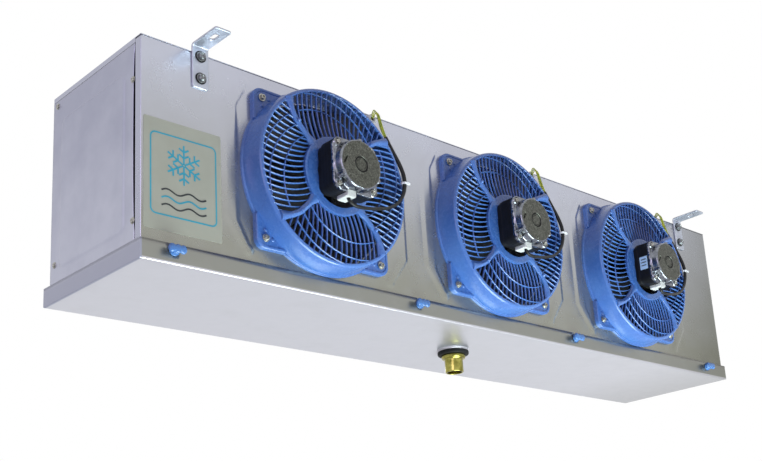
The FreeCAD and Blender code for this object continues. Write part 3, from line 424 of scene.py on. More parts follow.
def spun(profile, centre=(0, 0, 0), axis="y", count=96):
    """A flat profile of (radius, height) carried round the y or the z axis."""
    profile = np.asarray(profile, float)
    grid = around(profile[None, :, 0], profile[None, :, 1], turns(count))
    if axis == "z":
        grid = grid[..., (0, 2, 1)]
    return grid + np.array(centre, float), True, True


def square_reach(turn, half, corner):
    """Distance from the middle to a rounded square's edge: the flat side where it is met first, or else the
    corner's circle."""
    a, b = np.abs(np.cos(turn)), np.abs(np.sin(turn))
    m, k = np.maximum(a, b), np.minimum(a, b)
    c = half - corner
    flat = half / m
    bend = c * (m + k) + np.sqrt(np.maximum(corner ** 2 - (c * (m - k)) ** 2, 0))
    return np.where(flat * k <= c, flat, bend)


def bars(paths, width, front, back, crown):
    """Bars along flat paths: at each path point a section stands across the run, its sides straight from the
    back and its front an arch whose share of the depth is the crown. Both ends close in a point."""
    run = unit(np.gradient(paths, axis=-2))
    width = np.broadcast_to(np.asarray(width, float), paths.shape[:-1])[..., None]
    rise = abs(back - front) * crown
    shares = np.array([-0.5, -0.5, -0.3, 0.0, 0.3, 0.5, 0.5])
    height = np.array([back, front + rise, front + rise * 0.3, front, front + rise * 0.3, front + rise, back])
    flat = paths[..., None, :] + across(run)[..., None, :] * (width * shares)[..., None]
    grid = np.stack((flat[..., 0], np.broadcast_to(height, flat.shape[:-1]), flat[..., 1]), -1)
    caps = grid.mean(-2, keepdims=True) + np.zeros((len(shares), 1))
    return np.concatenate((caps[..., :1, :, :], grid, caps[..., -1:, :, :]), -3), False, True


def dome(centre, radius, height, rings=5):
    """Half an ellipsoid that stands forward: radius times the sine and height times the cosine of the polar
    angle, and a flat base."""
    polar = np.concatenate((np.linspace(0, np.pi / 2, rings), [np.pi / 2]))
    reach = radius * np.sin(polar)
    reach[-1] = 0
    return around(-reach, -height * np.cos(polar), turns(16)) + np.array(centre, float), True, False


def plate(outline, back, front):
    """A closed thin plate on an outline in x and z, between two places along y."""
    middle = outline.mean(0)
    loops = [np.insert(outline * part + middle * (1 - part), 1, y, -1)
             for part, y in ((0.0, back), (1.0, back), (1.0, front), (0.0, front))]
    return np.stack(loops), False, True


# Fan guard

RING_BASE, RING_BEAD, RING_TOP, WINDOW = 146.5, 148.5, 142.0, 136.5
RING_FACE, WEB_BACK, PLATE_FACE = -42.0, -39.0, -46.0
BOSS_RADIUS = 102.0
SWEEP = 6.5


def spoke_turn(radius):
    """Angle of a spoke's middle line at a radius: level to the boss, then swept back towards the rim."""
    t = np.clip((radius - BOSS_RADIUS) / 36.5, -1.0, 1.0)
    return np.radians(45.0 - SWEEP * np.where(t > 0, 0.62 * t + 0.38 * t * t, 0.10 * (1 + t) * t))


def guard_ring():
    """A bowl-shaped wall: the profile leans in from the base, rounds over the rim and returns inside."""
    inside = RING_FACE + 3.4
    profile = rounded([(RING_BASE - 3.5, 0, 0), (RING_BEAD, 0, 0), (RING_BEAD, -4, 1.2),
                       (RING_BASE - 0.4, -4.6, 0.8), (RING_TOP + 0.6, RING_FACE, 5.0), (WINDOW, RING_FACE, 1.2),
                       (WINDOW, inside, 0), (RING_TOP - 3.4, inside, 1.0)])
    return spun(profile, count=192)


def guard_lugs():
    """The base round the ring: a rounded square where that stands out past the ring's bead, and higher there."""
    half, corner, flange, lug_rise = 128.0, 16.0, 3.0, 6.0
    turn = turns(720)
    square = square_reach(turn, half, corner)
    out = np.maximum(square, RING_BEAD - 0.3)
    lug = smooth(square - RING_BEAD, -0.6, 0.9)
    height = flange + lug_rise * lug
    edge = 0.6 + 1.6 * lug
    inner = RING_BASE - 3.0
    steps = np.linspace(0, np.pi / 2, 5)[None, :]
    reach = [out, out - edge * (1 - np.cos(steps)), np.maximum(out - edge - 3.2 * lug, inner + 0.4),
             np.maximum(out - edge - 4.2 * lug, inner + 0.3), inner + 0.2 + 0 * out, inner + 0 * out]
    rise = [0 * out, height - edge * (1 - np.sin(steps)), height, height - lug, height - lug, 0 * out]
    return around(np.concatenate(reach, 1), -np.concatenate(rise, 1), turn), True, True


def guard_hub():
    """The plate round the motor: its inner edge steps out to a slot above and below."""
    bore, slot_depth, plate = 40.0, 11.0, 63.0
    turn = turns(360)
    from_slot = np.degrees(np.abs((turn % np.pi) - np.pi / 2))
    inner = bore + slot_depth * smooth(-from_slot, -41.5, -38.5)
    section = rounded([(0, WEB_BACK, 0.5), (1, WEB_BACK, 0.5), (1, PLATE_FACE, 1.0), (0, PLATE_FACE, 0.8)])
    return around(inner + (plate - inner) * section[None, :, 0], section[None, :, 1], turn), True, True


def quarter_turns(paths):
    """The same flat paths at four quarter turns."""
    return np.concatenate((paths, across(paths), -paths, -across(paths)))


def guard_spokes():
    """Four spokes along the spoke line, wider where they run into the plate and the rim."""
    radius = np.linspace(57.0, 139.0, 36)
    width = 9.4 + 9.0 * smooth(-radius, -80.0, -58.0) + 4.5 * smooth(radius, 122.0, 139.0)
    paths = quarter_turns(on_circle(radius, spoke_turn(radius))[None])
    return bars(paths, np.tile(width, (4, 1)), PLATE_FACE + 0.4, WEB_BACK, 0.5)


def clipped(paths, count):
    """Each path keeps the stretch from its outer end in to the first spoke line or the plate, in count
    points."""
    radius = np.hypot(paths[..., 0], paths[..., 1])
    angle = np.arctan2(paths[..., 1], paths[..., 0])
    line = spoke_turn(radius)
    inside = (radius > 60.0) & (angle < line) & (angle > line - np.pi / 2)
    kept = np.minimum.accumulate(inside[:, ::-1], axis=1)[:, ::-1]
    first = paths.shape[1] - kept.sum(1)
    spot = first[:, None] + np.linspace(0, 1, count) * (paths.shape[1] - 1 - first)[:, None]
    low = np.floor(spot).astype(int)
    part = (spot - low)[..., None]
    high = np.minimum(low + 1, paths.shape[1] - 1)
    rows = np.arange(len(paths))[:, None]
    return paths[rows, low] * (1 - part) + paths[rows, high] * part


def guard_ribs():
    """Ribs of one quadrant: each starts at the rim, aims at a focus behind the hub, and bows to one side as a
    parabola; it ends at the plate or at a spoke."""
    rim_radius, plate, focus, bow, count = 139.5, 59.0, 244.0, 6.6, 20
    angle = (np.arange(count) - (count - 1) / 2) * np.radians(90.0 / (count + 1))
    rim = on_circle(rim_radius, angle - np.radians(SWEEP))
    aim = unit(on_circle(rim_radius, angle) + (focus, 0.0))
    length = (rim * aim).sum(1)
    part = length ** 2 - ((rim ** 2).sum(1) - plate ** 2)
    reach = np.where(part > 0, length - np.sqrt(np.maximum(part, 0)), length)
    root = rim - aim * reach[:, None]
    run = rim - root
    side = unit(across(run))
    t = np.linspace(0, 1, 160)[None, :, None]
    paths = root[:, None] + run[:, None] * t + side[:, None] * bow * 4 * t * (1 - t)
    return bars(quarter_turns(clipped(paths, 9)), 2.1, RING_FACE - 0.3, WEB_BACK, 0.4)


def guard_cross_ribs():
    """Thin ribs that spiral across: the radius and the angle in degrees both grow evenly along each."""
    rows = np.array(((118.0, -42.0, 139.0, 4.0), (97.0, -45.0, 138.0, 28.0), (77.0, -45.0, 116.0, 41.0)))
    t = np.linspace(0, 1, 160)[::8]
    radius = rows[:, :1] + (rows[:, 2:3] - rows[:, :1]) * t
    angle = np.radians(rows[:, 1:2] + (rows[:, 3:] - rows[:, 1:2]) * t)
    return bars(quarter_turns(on_circle(radius, angle)), 1.7, RING_FACE - 0.8, -40.2, 0.5)


def guard_bosses():
    """Small domes on the spokes, and two beside each lug's screw."""
    made = []
    for quarter in range(4):
        x, z = on_circle(BOSS_RADIUS, np.pi / 4 + quarter * np.pi / 2)
        made.append(dome((x, -45.2, z), 3.4, 4.2))
    for sx, sz in CORNERS:
        for x, z in ((GUARD_SCREW - 13, GUARD_SCREW), (GUARD_SCREW, GUARD_SCREW - 13)):
            made.append(dome((sx * x, -8.0, sz * z), 3.2, 1.4, rings=4))
    return made


def build_guards():
    shells = [guard_ring(), guard_lugs(), guard_hub(), guard_spokes(), guard_ribs(), guard_cross_ribs()]
    shells += guard_bosses()
    for n, place in FANS:
        piece("guard_%d" % n, shells, "casing", ["fan_guard_%d" % n], "blue_plastic", shift=place)


# Motor

def stator_shell():
    """A rounded square outline carried along a stepped profile of insets and heights, closed at both faces."""
    inside = 30.0
    turn = turns(240)
    profile = rounded([(inside, STATOR_BACK, 0), (3.2, STATOR_BACK, 1.0), (2.6, -54.0, 0.8), (3.6, -55.2, 0.4),
                       (0.2, -56.4, 0.8), (0.0, CAP_SEAT, 0), (inside, CAP_SEAT, 0)])
    reach = square_reach(turn, STATOR_HALF, STATOR_CORNER) - profile[None, :, 0]
    return around(reach, profile[None, :, 1], turn), True, True


def cap_height(x, z):
    """Front of the die-cast cap above the stator: a flange, a drafted crown with a well at each corner screw,
    lips round the wells, three rivets, a bearing groove between a ring and a lip, a slot and three dents."""
    flange, face, rivet_circle, rivet = 5.0, 19.0, 37.5, 4.4
    r = np.hypot(x, z)
    wells = np.hypot(np.abs(x) - MOTOR_SCREW, np.abs(z) - MOTOR_SCREW)
    crown = np.interp(r, (0, 37.2, 38.2, 38.9, 39.3, 40.8, 41.5, 43.0), (14, 14, 13.7, 12.9, 11.8, 1.6, 0.5, 0))
    height = flange + crown * smooth(wells, 6.6, 8.4)
    height += 2.0 * band(wells, 5.0, 5.7, 7.4, 8.4) * smooth(r, 40.2, 42.0)
    away = np.min([np.hypot(x - rivet_circle * np.cos(turn), z - rivet_circle * np.sin(turn))
                   for turn in np.radians((90.0, 330.0, 210.0))], 0)
    domed = face + 0.9 * np.sqrt(np.maximum(1 - (away / rivet) ** 2, 0)) - 1.2 * (away > 3.9)
    height = np.where(away < rivet, np.maximum(height, domed), height)
    height -= 2.0 * band(r, 10.9, 11.3, 12.2, 12.6)
    height -= band(r, 8.2, 8.5, 8.9, 9.2)
    height += 0.8 * band(r, 12.6, 12.9, 13.8, 14.6)
    along = (x + 30.0) * 0.47 + (z - 1.5) * 0.88
    beside = (x + 30.0) * 0.88 - (z - 1.5) * 0.47
    height -= 3.0 * smooth(-np.abs(along), -7.0, -6.4) * smooth(-np.abs(beside), -1.6, -1.1)
    for dent_x, dent_z in ((0.0, -34.5), (-26.0, 24.0), (-24.0, -23.0)):
        height -= 1.4 * smooth(-np.hypot(x - dent_x, z - dent_z), -2.0, -1.2)
    return height


def cap_shells():
    """The cap's height over rays from its middle to the rounded square, which has a bay below for the leads.
    The first shell is the speckled face, the second the smooth flank, the flange and the back."""
    turn = turns(360)
    inner = np.concatenate((np.linspace(0, 8, 5), np.linspace(8, 13, 21)[1:], np.linspace(13, 37, 40)[1:]))
    outer = np.concatenate((np.linspace(37, 44, 29), np.linspace(44, 54, 26)[1:]))
    edge = square_reach(turn, STATOR_HALF, STATOR_CORNER)
    edge = edge - 4.6 * smooth(-np.abs(edge * np.cos(turn) + 8.5), -10.5, -8.0) * (np.sin(turn) < 0)
    parts = []
    for steps in (inner, outer):
        reach = np.minimum(steps[None, :], edge)
        lift = cap_height(reach * np.cos(turn), reach * np.sin(turn)) - 0.8 * smooth(reach - edge, -0.7, 0.0)
        parts.append(around(reach, CAP_SEAT - lift, turn))
    back = [around(edge, CAP_SEAT, turn), around(0 * edge, CAP_SEAT, turn)]
    return [(parts[0], True, False, 0), (np.concatenate([parts[1]] + back, 1), True, False, 1)]


def hex_head(centre, axis, across_flats, height, washer, thick, facing, dish):
    """A dished hexagon head on a round flange, trimmed by a cone at the top."""
    turn = turns(72)
    half = across_flats / 2
    flat = half / np.cos((turn + np.pi / 6) % (np.pi / 3) - np.pi / 6)
    top = height - 0.16 * across_flats * (flat - half) / (across_flats / np.sqrt(3) - half)
    rows = ((0, 0), (flat, 0), (flat, top - 0.3), (flat * 0.97, top), (across_flats * 0.40, height),
            (across_flats * 0.26, height), (across_flats * 0.2, height - dish), (0, height - dish))
    reach, lift = (np.concatenate([part + 0 * turn for part in column], 1) for column in zip(*rows))
    rim = rounded([(0.2, 0, 0), (washer, 0, 0.2), (washer, thick, 0.35), (0.2, thick, 0)])
    made = []
    for grid, closes in ((spun(rim, count=40)[0], True), (around(reach, lift + thick, turn), False)):
        grid = grid * np.array((1.0, facing, 1.0))
        if axis == "x":
            grid = grid[..., (1, 0, 2)]
        made.append((grid + np.array(centre, float), True, closes))
    return made


def corner_heads(reach, face, *sizes):
    """Forward screw heads at four corners round each fan's axis."""
    return [shell for x in FAN_XS for sx, sz in CORNERS
            for shell in hex_head((x + reach * sx, FRONT + face, FAN_Z + reach * sz), "y", *sizes)]


def build_motors():
    """Stator, cap, a black ring of painted shade in the cap's outer groove, and the white block that the leads
    come out of; the block's outline shrinks to a point of its own at both ends."""
    # Painted shade: a black ring laid in the cap's outer groove stands in for the groove's shadow.
    groove_shade_outline = rounded([(10.3, -99.1, 0.1), (10.3, -97.4, 0), (12.5, -97.4, 0), (12.5, -99.1, 0.1)])
    outline = rounded([(-17.0, -48.5, 2.0), (0.5, -48.5, 2.0), (0.5, -38.0, 1.0), (-17.0, -38.0, 1.0)])
    layers = ((0.0, -8.0, -60.0), (1.0, 0.0, -60.0), (1.0, 0.0, -82.0), (0.9, -0.8, -84.0), (0.0, -8.0, -84.0))
    block = np.stack([np.stack((outline[:, 0] * k + c, 0 * outline[:, 0] + y, outline[:, 1]), -1)
                      for k, c, y in layers])
    for n, place in FANS:
        piece("stator_%d" % n, [stator_shell()], "casing", ["motor_stator_%d" % n], "black_enamel", shift=place)
        piece("cap_%d" % n, cap_shells(), "casing", ["motor_cap_%d" % n], "cast_alloy",
              ["cast_alloy", "cast_flank"], shift=place, sharp=50)
        # The black ring of painted shade in the cap's outer groove.
        piece("painted_groove_shade_%d" % n, [spun(groove_shade_outline, count=64)], "casing", [], "black_rubber",
              shift=place)
        piece("bobbin_%d" % n, [(block, False, True)], "casing", [], "tie_white", ["white_nylon"], shift=place)
    heads = corner_heads(MOTOR_SCREW, CAP_SEAT - 5.0, 6.6, 3.0, 4.4, 0.8, -1, 0.8)
    piece("motor_screw_heads", heads, "casing", ["motor_screws"], "screw_steel")


def build_motor_sticker():
    """A bare pale tag on the third stator's side, with three grey bars."""
    side = FAN_XS[2] - STATOR_HALF
    lines = [(-74.5, -63.0, row - 1.0, row + 1.0, 0.27, 1) for row in (6.0, 0.0, -6.0)]
    shells = []
    for y0, y1, z0, z1, lift, tone in [(-77.5, -60.0, -14.0, 12.0, 0.15, 0)] + lines:
        outline = np.array(((y0, z0), (y1, z0), (y1, z1), (y0, z1))) + (FRONT, FAN_Z)
        shells.append((plate(outline, side, side - lift)[0][..., (1, 0, 2)], False, True, tone))
    piece("motor_tag", shells, "casing", [], "label", ["tag_blue", "label_dark"])


def build_guard_screws():
    heads = corner_heads(GUARD_SCREW, -8.9, 7.6, 3.8, 6.2, 1.1, -1, 1.6)
    piece("guard_screw_heads", heads, "casing", ["guard_screws"], "screw_steel")


# Leads, held from the motor to the panel

LEAD = ((-10, -77, -42), (-10, -77, -51), (-2, -77.3, -57.5), (14, -76, -58), (42, -71, -52), (70, -65, -44),
        (95, -58, -34), (116, -52.5, -20), (130, -48.5, -5), (138.5, -46.6, 12), (141.5, -45, 33),
        (139, -38.5, 57), (128, -33, 82), (119, -30, 103))
LEAD_SWELL = [1.0] * 7 + [1.05, 1.15] + [1.22] * 4 + [1.1]
HOLE = (113.0, 0.0, 143.0)


def wire_points(number):
    """A wire's route beside its neighbours, one pitch apart, from the sleeve's end over a loop into the
    grommet."""
    pitch = 2.1
    along = unit(np.array((-9.0, 3.0, 21.0)))
    side = np.array((0.65, -0.72, 0.25)) * pitch * (number - 1)
    spread = np.array((pitch * (number - 1), 0.0, 0.0))
    start, hole = np.array(LEAD[-1], float), np.array(HOLE)
    rise = 2.2 * (2 - number)
    return [start + side * 0.6, start + along * 13 + side, np.array((112, -25.5, 131.0 + rise)) + side,
            np.array((111.3, -22.5, 145.0 + rise)) + side, np.array((111.7, -15.5, 152.0 + rise)) + spread,
            hole + (0, -8.5, 2.0 + rise / 2) + spread, hole + (0, 2.2, 0) + spread]


def held_curve(name, routes, radius, place, node, finishes, swell=None):
    """A bevelled NURBS curve with the route's points as its control points."""
    data = bpy.data.curves.new(name, "CURVE")
    data.dimensions = "3D"
    data.bevel_depth = radius * 0.001
    data.bevel_resolution = 5
    data.resolution_u = 10
    data.use_fill_caps = True
    for number, route in enumerate(routes):
        points = (np.array(route, float) + np.array(place)) * 0.001
        spline = data.splines.new("NURBS")
        spline.points.add(len(points) - 1)
        spline.points.foreach_set("co", np.concatenate((points, np.ones((len(points), 1))), 1).ravel())
        if swell:
            spline.points.foreach_set("radius", swell)
        spline.order_u = 3
        spline.use_endpoint_u = True
        spline.material_index = number
    enter(name, data, "casing", [node], finishes)


def build_leads():
    wires = [wire_points(number) for number in range(3)]
    for n, place in FANS:
        held_curve("lead_%d" % n, [LEAD], 2.75, place, "motor_lead_%d" % n, ["lead_black"],
                   LEAD_SWELL)
        held_curve("wires_%d" % n, wires, 0.95, place, "lead_wires_%d" % n,
                   ["wire", "wire_blue", "wire_brown"])


# Sheet metal

def middles(values):
    return (values[1:] + values[:-1]) / 2


def off_run(u, v, start, end):
    """Offsets of points from the nearest place on a straight run."""
    (ua, va), (ub, vb) = start, end
    size = max((ub - ua) ** 2 + (vb - va) ** 2, 1e-9)
    t = np.clip(((u - ua) * (ub - ua) + (v - va) * (vb - va)) / size, 0, 1)
    return u - (ua + t * (ub - ua)), v - (va + t * (vb - va))


def hole_reach(u, v, holes):
    """Distance outside the nearest hole, and the direction away from it: each hole is two centres and a radius,
    and its edge is a rounded slot."""
    best = np.full(u.shape, 1e9)
    nearest = np.zeros(u.shape + (2,))
    for start, end, radius in holes:
        off = off_run(u, v, start, end)
        away = np.hypot(*off)
        better = away - radius < best
        best = np.where(better, away - radius, best)
        push = np.stack(off, -1) / np.maximum(away, 1e-6)[..., None]
        nearest = np.where(better[..., None], push, nearest)
    return best, nearest


def onto_edges(u, v, holes, within):
    """Grid points within a distance of a hole's edge move onto it."""
    away, push = hole_reach(u, v, holes)
    near = np.abs(away) < within
    return np.where(near, u - push[..., 0] * away, u), np.where(near, v - push[..., 1] * away, v)


def in_holes(us, vs, holes):
    """Which cells of a grid lie in a hole, by their middles."""
    return hole_reach(*np.meshgrid(us, vs, indexing="ij"), holes)[0] <= 0


def punched(name, us, vs, fold, body, node, finish_key, drop=None, flip=False, thick=SHEET, sharp=32.0):
    """A flat blank on a grid, without its dropped cells, folded by a function of its two flat coordinates, then
    given its thickness inwards."""
    u, v = np.meshgrid(us, vs, indexing="ij")
    faces = quads(1, len(us), len(vs), False, False)
    if drop is not None:
        faces = faces[~drop.ravel()]
    if flip:
        faces = faces[:, ::-1]
    mesh = write_mesh(name, fold(u, v).reshape(-1, 3), faces, np.zeros(len(faces)))
    made = settle(name, mesh, body, [node], [finish_key], sharp, turn_out=False)
    wall = made.modifiers.new("wall", "SOLIDIFY")
    wall.thickness = thick * 0.001
    wall.offset = -1.0


def bead_lift(x, z):
    """Pressed stiffener beside a fan: a soft step of the depth inside its outline, which bends in towards both
    ends; each end closes in a round pad."""
    outline = np.array(((179, 90), (179, -90), (145, -136), (129, -136), (153, -90), (153, 90), (129, 136),
                        (145, 136)), float)
    x = np.abs(x)
    depth = np.full(x.shape, 1e9)
    inside = np.zeros(x.shape, bool)
    for (ax, az), (bx, bz) in zip(outline, np.roll(outline, -1, 0)):
        depth = np.minimum(depth, np.hypot(*off_run(x, z, (ax, az), (bx, bz))))
        if az != bz:
            inside ^= ((az > z) != (bz > z)) & (x < ax + (z - az) / (bz - az) * (bx - ax))
    depth = np.where(inside, depth, -depth)
    depth = np.maximum(depth, 9.0 - np.hypot(x - 138.0, np.abs(z) - 133.0))
    return 2.2 * smooth(depth, -1.5, 4.5)


BEND = 2.0


def bend(length):
    """Offsets (across, back) of a quarter bend and the flange behind it."""
    turn = np.linspace(0, np.pi / 2, 5)[1:]
    arc = np.stack((BEND * np.sin(turn) - BEND, BEND - BEND * np.cos(turn)), -1)
    return np.concatenate((arc, [(0.0, length)]))


def build_front_panel():
    """The sides turn back, step in behind the end covers and run on; the top and the bottom turn back too."""
    step, behind = -6.0, 14.0
    side = np.concatenate((bend(13.2), [(0.0, behind), (step, behind + 0.1), (step, 32.0)]))
    flat = np.linspace(-END + BEND, END - BEND, 580)
    sx = np.concatenate((-END - side[::-1, 0], flat, END + side[:, 0]))
    sy = np.concatenate((side[::-1, 1], 0 * flat, side[:, 1]))
    low, high = bend(12.0), bend(14.0)
    flat_z = np.linspace(PANEL_LOW + BEND, PANEL_HIGH - BEND, 150)
    tz = np.concatenate((PANEL_LOW - low[::-1, 0], flat_z, PANEL_HIGH + high[:, 0]))
    ty = np.concatenate((low[::-1, 1], 0 * flat_z, high[:, 1]))
    us, vs = np.arange(len(sx)), np.arange(len(tz))

    def fold(u, v):
        x, z = sx[u], tz[v]
        y = FRONT + sy[u] + ty[v]
        lift = sum(bead_lift(x - fan, z - FAN_Z) for fan in FAN_XS)
        flat_part = (np.abs(x) < END - 1) & (ty[v] == 0)
        x, z = onto_edges(x, z, FAN_HOLES, 1.7)
        return np.stack((x, y - lift * flat_part, z), -1)

    drop = in_holes(middles(sx), middles(tz), FAN_HOLES)
    drop |= (middles(sy)[:, None] > 0) & ((middles(ty) > 0) | (middles(tz) < BOTTOM))[None, :]
    punched("panel", us, vs, fold, "casing", "front_panel", "sheet_metal", drop, flip=True)


def field_lift(y, z):
    """The end cover's pressed field: a soft step of the depth inside a rounded rectangle."""
    corner = 14.0
    dy = np.abs(y - 6.5) - (92.5 - corner)
    dz = np.abs(z + 177.0) - (120.0 - corner)
    depth = corner - np.hypot(np.maximum(dy, 0), np.maximum(dz, 0)) - np.minimum(np.maximum(dy, dz), 0)
    return 2.2 * smooth(depth, 0.0, 4.0)


def build_end_covers():
    """Each cover's front edge bows back between its screws, so that a gap shows beside the panel."""
    us = np.linspace(-110.0, 126.0, 119)
    vs = np.linspace(-315.0, -20.5, 148)
    for side, name in ((-1, "left"), (1, "right")):
        def fold(u, v):
            bow = 4.4 * smooth(-u, 103.0, 110.0) * np.sqrt(np.clip(1 - ((v + 165.0) / 135.0) ** 2, 0, 1))
            return np.stack((side * (END + field_lift(u, v)), u + bow, v), -1)
        punched("cover_" + name, us, vs, fold, "casing", name + "_end_cover", "end_sheet",
                flip=side > 0)
    heads = []
    for side in (-1, 1):
        for y, z in ((-106.0, -76.0), (-106.0, -286.0), (113.5, -29.0), (113.5, -286.0)):
            heads += hex_head((side * END, y, z), "x", 6.4, 1.5, 5.0, 0.7, side, 0.6)
    piece("cover_screw_heads", heads, "casing", ["end_cover_screws"], "screw_steel")


def build_pan():
    """A tray: both flat coordinates fold up at the edges, and a point's height is the greater of the two
    folds. Its front wall is notched for the knobs' studs."""
    radius, cell, notch, notch_low = 1.6, 12.0, 3.75, 15.5

    def folded(low, high, cuts=()):
        flat = np.arange(low + radius, high - radius, cell)
        flat = np.unique(np.concatenate((flat, [high - radius], np.array(cuts))))
        rise = np.array((29.5, 22.0, 16.5, 15.0, 8.0, radius))
        turn = np.linspace(0, np.pi / 2, 6)[-2:0:-1]
        left = np.concatenate((low + 0 * rise, low + radius * (1 - np.sin(turn))))
        z_left = np.concatenate((rise, radius * (1 - np.cos(turn))))
        place = np.concatenate((left, flat, (low + high) - left[::-1]))
        return place, np.concatenate((z_left, 0 * flat, z_left[::-1]))

    sx, zx = folded(-714.2, 721.0, [x + d for x in KNOB_XS for d in (-notch, 0.0, notch)])
    sy, zy = folded(-128.2, 141.0)
    us, vs = np.arange(len(sx)), np.arange(len(sy))

    def fold(u, v):
        return np.stack((sx[u], sy[v], PAN_LOW + np.maximum(zx[u], zy[v])), -1)

    at_studs = np.abs(middles(sx)[:, None] - np.array(KNOB_XS)).min(1) < notch - 0.05
    drop = at_studs[:, None] & ((middles(sy) < -128) & (middles(zy) > notch_low))[None, :]
    punched("pan", us, vs, fold, "pan", "drain_pan", "pan_sheet", drop)
    centre = DRAIN + (PAN_LOW,)
    # Partly painted shade: the black washer is the real washer, made 2.4 mm higher so that it covers the neck
    # where the neck lies in shade.
    outside, washer_radius, washer_low, washer_and_shade_top = 16.6, 28.5, -10.0, -2.6
    disc = rounded([(16.7, 1.2, 0), (16.7, washer_and_shade_top, 0), (27.0, washer_and_shade_top, 0.4), (27.0, -1.4, 0.4),
                    (washer_radius, -1.2, 0.4), (washer_radius, 0.4, 0)])
    piece("drain_disc", [spun(disc, centre, "z")], "pan", [], "pan_sheet")
    # The washer: partly real, partly painted shade over the neck.
    washer = rounded([(16.7, washer_and_shade_top, 0.6), (16.7, washer_low, 0.6), (washer_radius, washer_low, 2.8),
                      (washer_radius, washer_and_shade_top, 1.6)])
    piece("drain_seal_and_shade", [spun(washer, centre, "z")], "pan", ["drain_washer"], "black_rubber")
    nipple = rounded([(13.5, 8.0, 0.5), (13.5, -42.0, 0.8), (outside, -42.0, 1.4), (outside, -17.0, 2.0),
                      (20.4, -17.0, 1.0), (21.75, -14.5, 0.8), (21.75, washer_low, 0.5),
                      (outside, washer_low, 0.3), (outside, 8.0, 0.5)])
    piece("drain_spigot", [spun(nipple, centre, "z", 120)], "pan", ["drain_nipple"], "brass")


def build_brackets():
    """A strip seen from its open side: it climbs the casing, turns a bend and runs out under the ceiling, where
    it has a slot."""
    thick, radius, foot, climb, leg, corner = 3.0, 2.0, -69.0, 64.0, 57.0, 3.0
    turned = radius * np.pi / 2
    us = np.linspace(-13.5, 13.5, 28)
    vs = np.concatenate((np.linspace(0.0, climb, 60), climb + np.linspace(0, turned, 6)[1:],
                         climb + turned + np.linspace(0, leg, 58)[1:]))
    middle = climb + turned + 33.0
    slot = [((0, middle - 4.5), (0, middle + 4.5), 4.5)]
    drop = in_holes(middles(us), middles(vs), slot)
    for side, words in ((-1, "front"), (1, "rear")):
        for x, name in zip(BRACKET_XS, ("left", "right")):
            def fold(u, v):
                u, v = onto_edges(u, v, slot, 0.7)
                turn = np.clip((v - climb) / radius, 0, np.pi / 2)
                rim = np.clip(np.abs(u) - 13.5 + corner, 0, None)
                trim = corner - np.sqrt(np.maximum(corner ** 2 - rim ** 2, 0))
                z = foot + np.minimum(v, climb) + radius * np.sin(turn) + trim * smooth(-v, -6.0, 0.0)
                out = thick + radius * (1 - np.cos(turn)) + np.maximum(v - climb - turned, 0)
                out = out - trim * smooth(v, vs[-1] - 6.0, vs[-1])
                return np.stack((x + u, side * (-FRONT + out), z), -1)
            punched("hanger_%s_%s" % (words, name), us, vs, fold, "casing", "bracket_%s_%s" % (words, name),
                    "zinc_steel", drop, flip=side < 0, thick=thick, sharp=40)
    heads = []
    for x in BRACKET_XS:
        for row in (6.5, 41.5):
            for side in (-1, 1):
                place = (x, side * (thick - FRONT), TOP - row)
                heads += hex_head(place, "y", 10.0, 5.0, 7.4, 2.0, side, 1.0)
                ring = rounded([(0.1, 0, 0), (9.0, 0, 0.3), (9.0, 1.2 * side, 0.3), (0.1, 1.2 * side, 0)])
                heads.append(spun(ring, place, count=40) + (1,))
    piece("hanger_bolts", heads, "casing", ["bracket_bolts"], "screw_steel", ["bolt_steel", "black_rubber"])


# Knobs

def knob_shells(x):
    """Collar, hub and wing: the wing's section is a superellipse whose height follows a waisted outline."""
    centre = (x, -128.5, STUD_Z)
    collar = rounded([(0.1, 0, 0), (8.0, 0, 0.4), (8.0, -3.0, 0.8), (0.1, -3.0, 0)])
    hub = rounded([(0.1, -2.0, 0), (6.5, -2.0, 0.2), (6.0, -12.5, 2.0), (0.1, -13.0, 0)])
    half_length, half_depth, half_height = 14.5, 3.5, 6.5
    t = np.linspace(-1, 1, 33)[:, None]
    waist = 0.62 + 0.38 * smooth(np.abs(t), 0.08, 0.62) - 0.30 * smooth(np.abs(t), 0.72, 1.0)
    close = np.sqrt(np.clip(1 - np.abs(t) ** 7, 0, 1))
    turn = turns(28).T
    up = np.sign(np.sin(turn)) * np.abs(np.sin(turn)) ** 0.7
    deep = np.sign(np.cos(turn)) * np.abs(np.cos(turn)) ** 0.8
    wing = np.stack((half_length * t + 0 * turn, -9.5 + half_depth * deep * close,
                     half_height * up * (waist * close)), -1)
    return [spun(collar, centre, count=40), spun(hub, centre, count=40), (wing + np.array(centre), False, True)]


def build_knobs():
    for i, x in enumerate(KNOB_XS):
        piece("knob_%d" % (i + 1), knob_shells(x), "knob_%d" % (i + 1), ["pan_knob_%d" % (i + 1)], "knob_blue",
              sharp=50)


# Label: a generic frost mark over three lines of air

INK = 0.12


def strokes(rows, width, y):
    """Closed flat strips from one point to another, each 0.01 mm above the last, so that none share a plane."""
    rows = np.asarray(rows, float)
    start, end = rows[:, :2], rows[:, 2:]
    side = across(unit(end - start)) * width / 2
    flat = np.stack((start - side, start + side, end + side, end - side), 1)
    level = y - 0.01 * np.arange(len(rows))[:, None] + np.zeros((1, 4))
    front = np.stack((flat[..., 0], level, flat[..., 1]), -1)
    behind = np.array((0, INK, 0))
    middle = front.mean(1, keepdims=True) + np.zeros((4, 1))
    return np.stack((middle, front, front + behind, middle + behind), 1), False, True


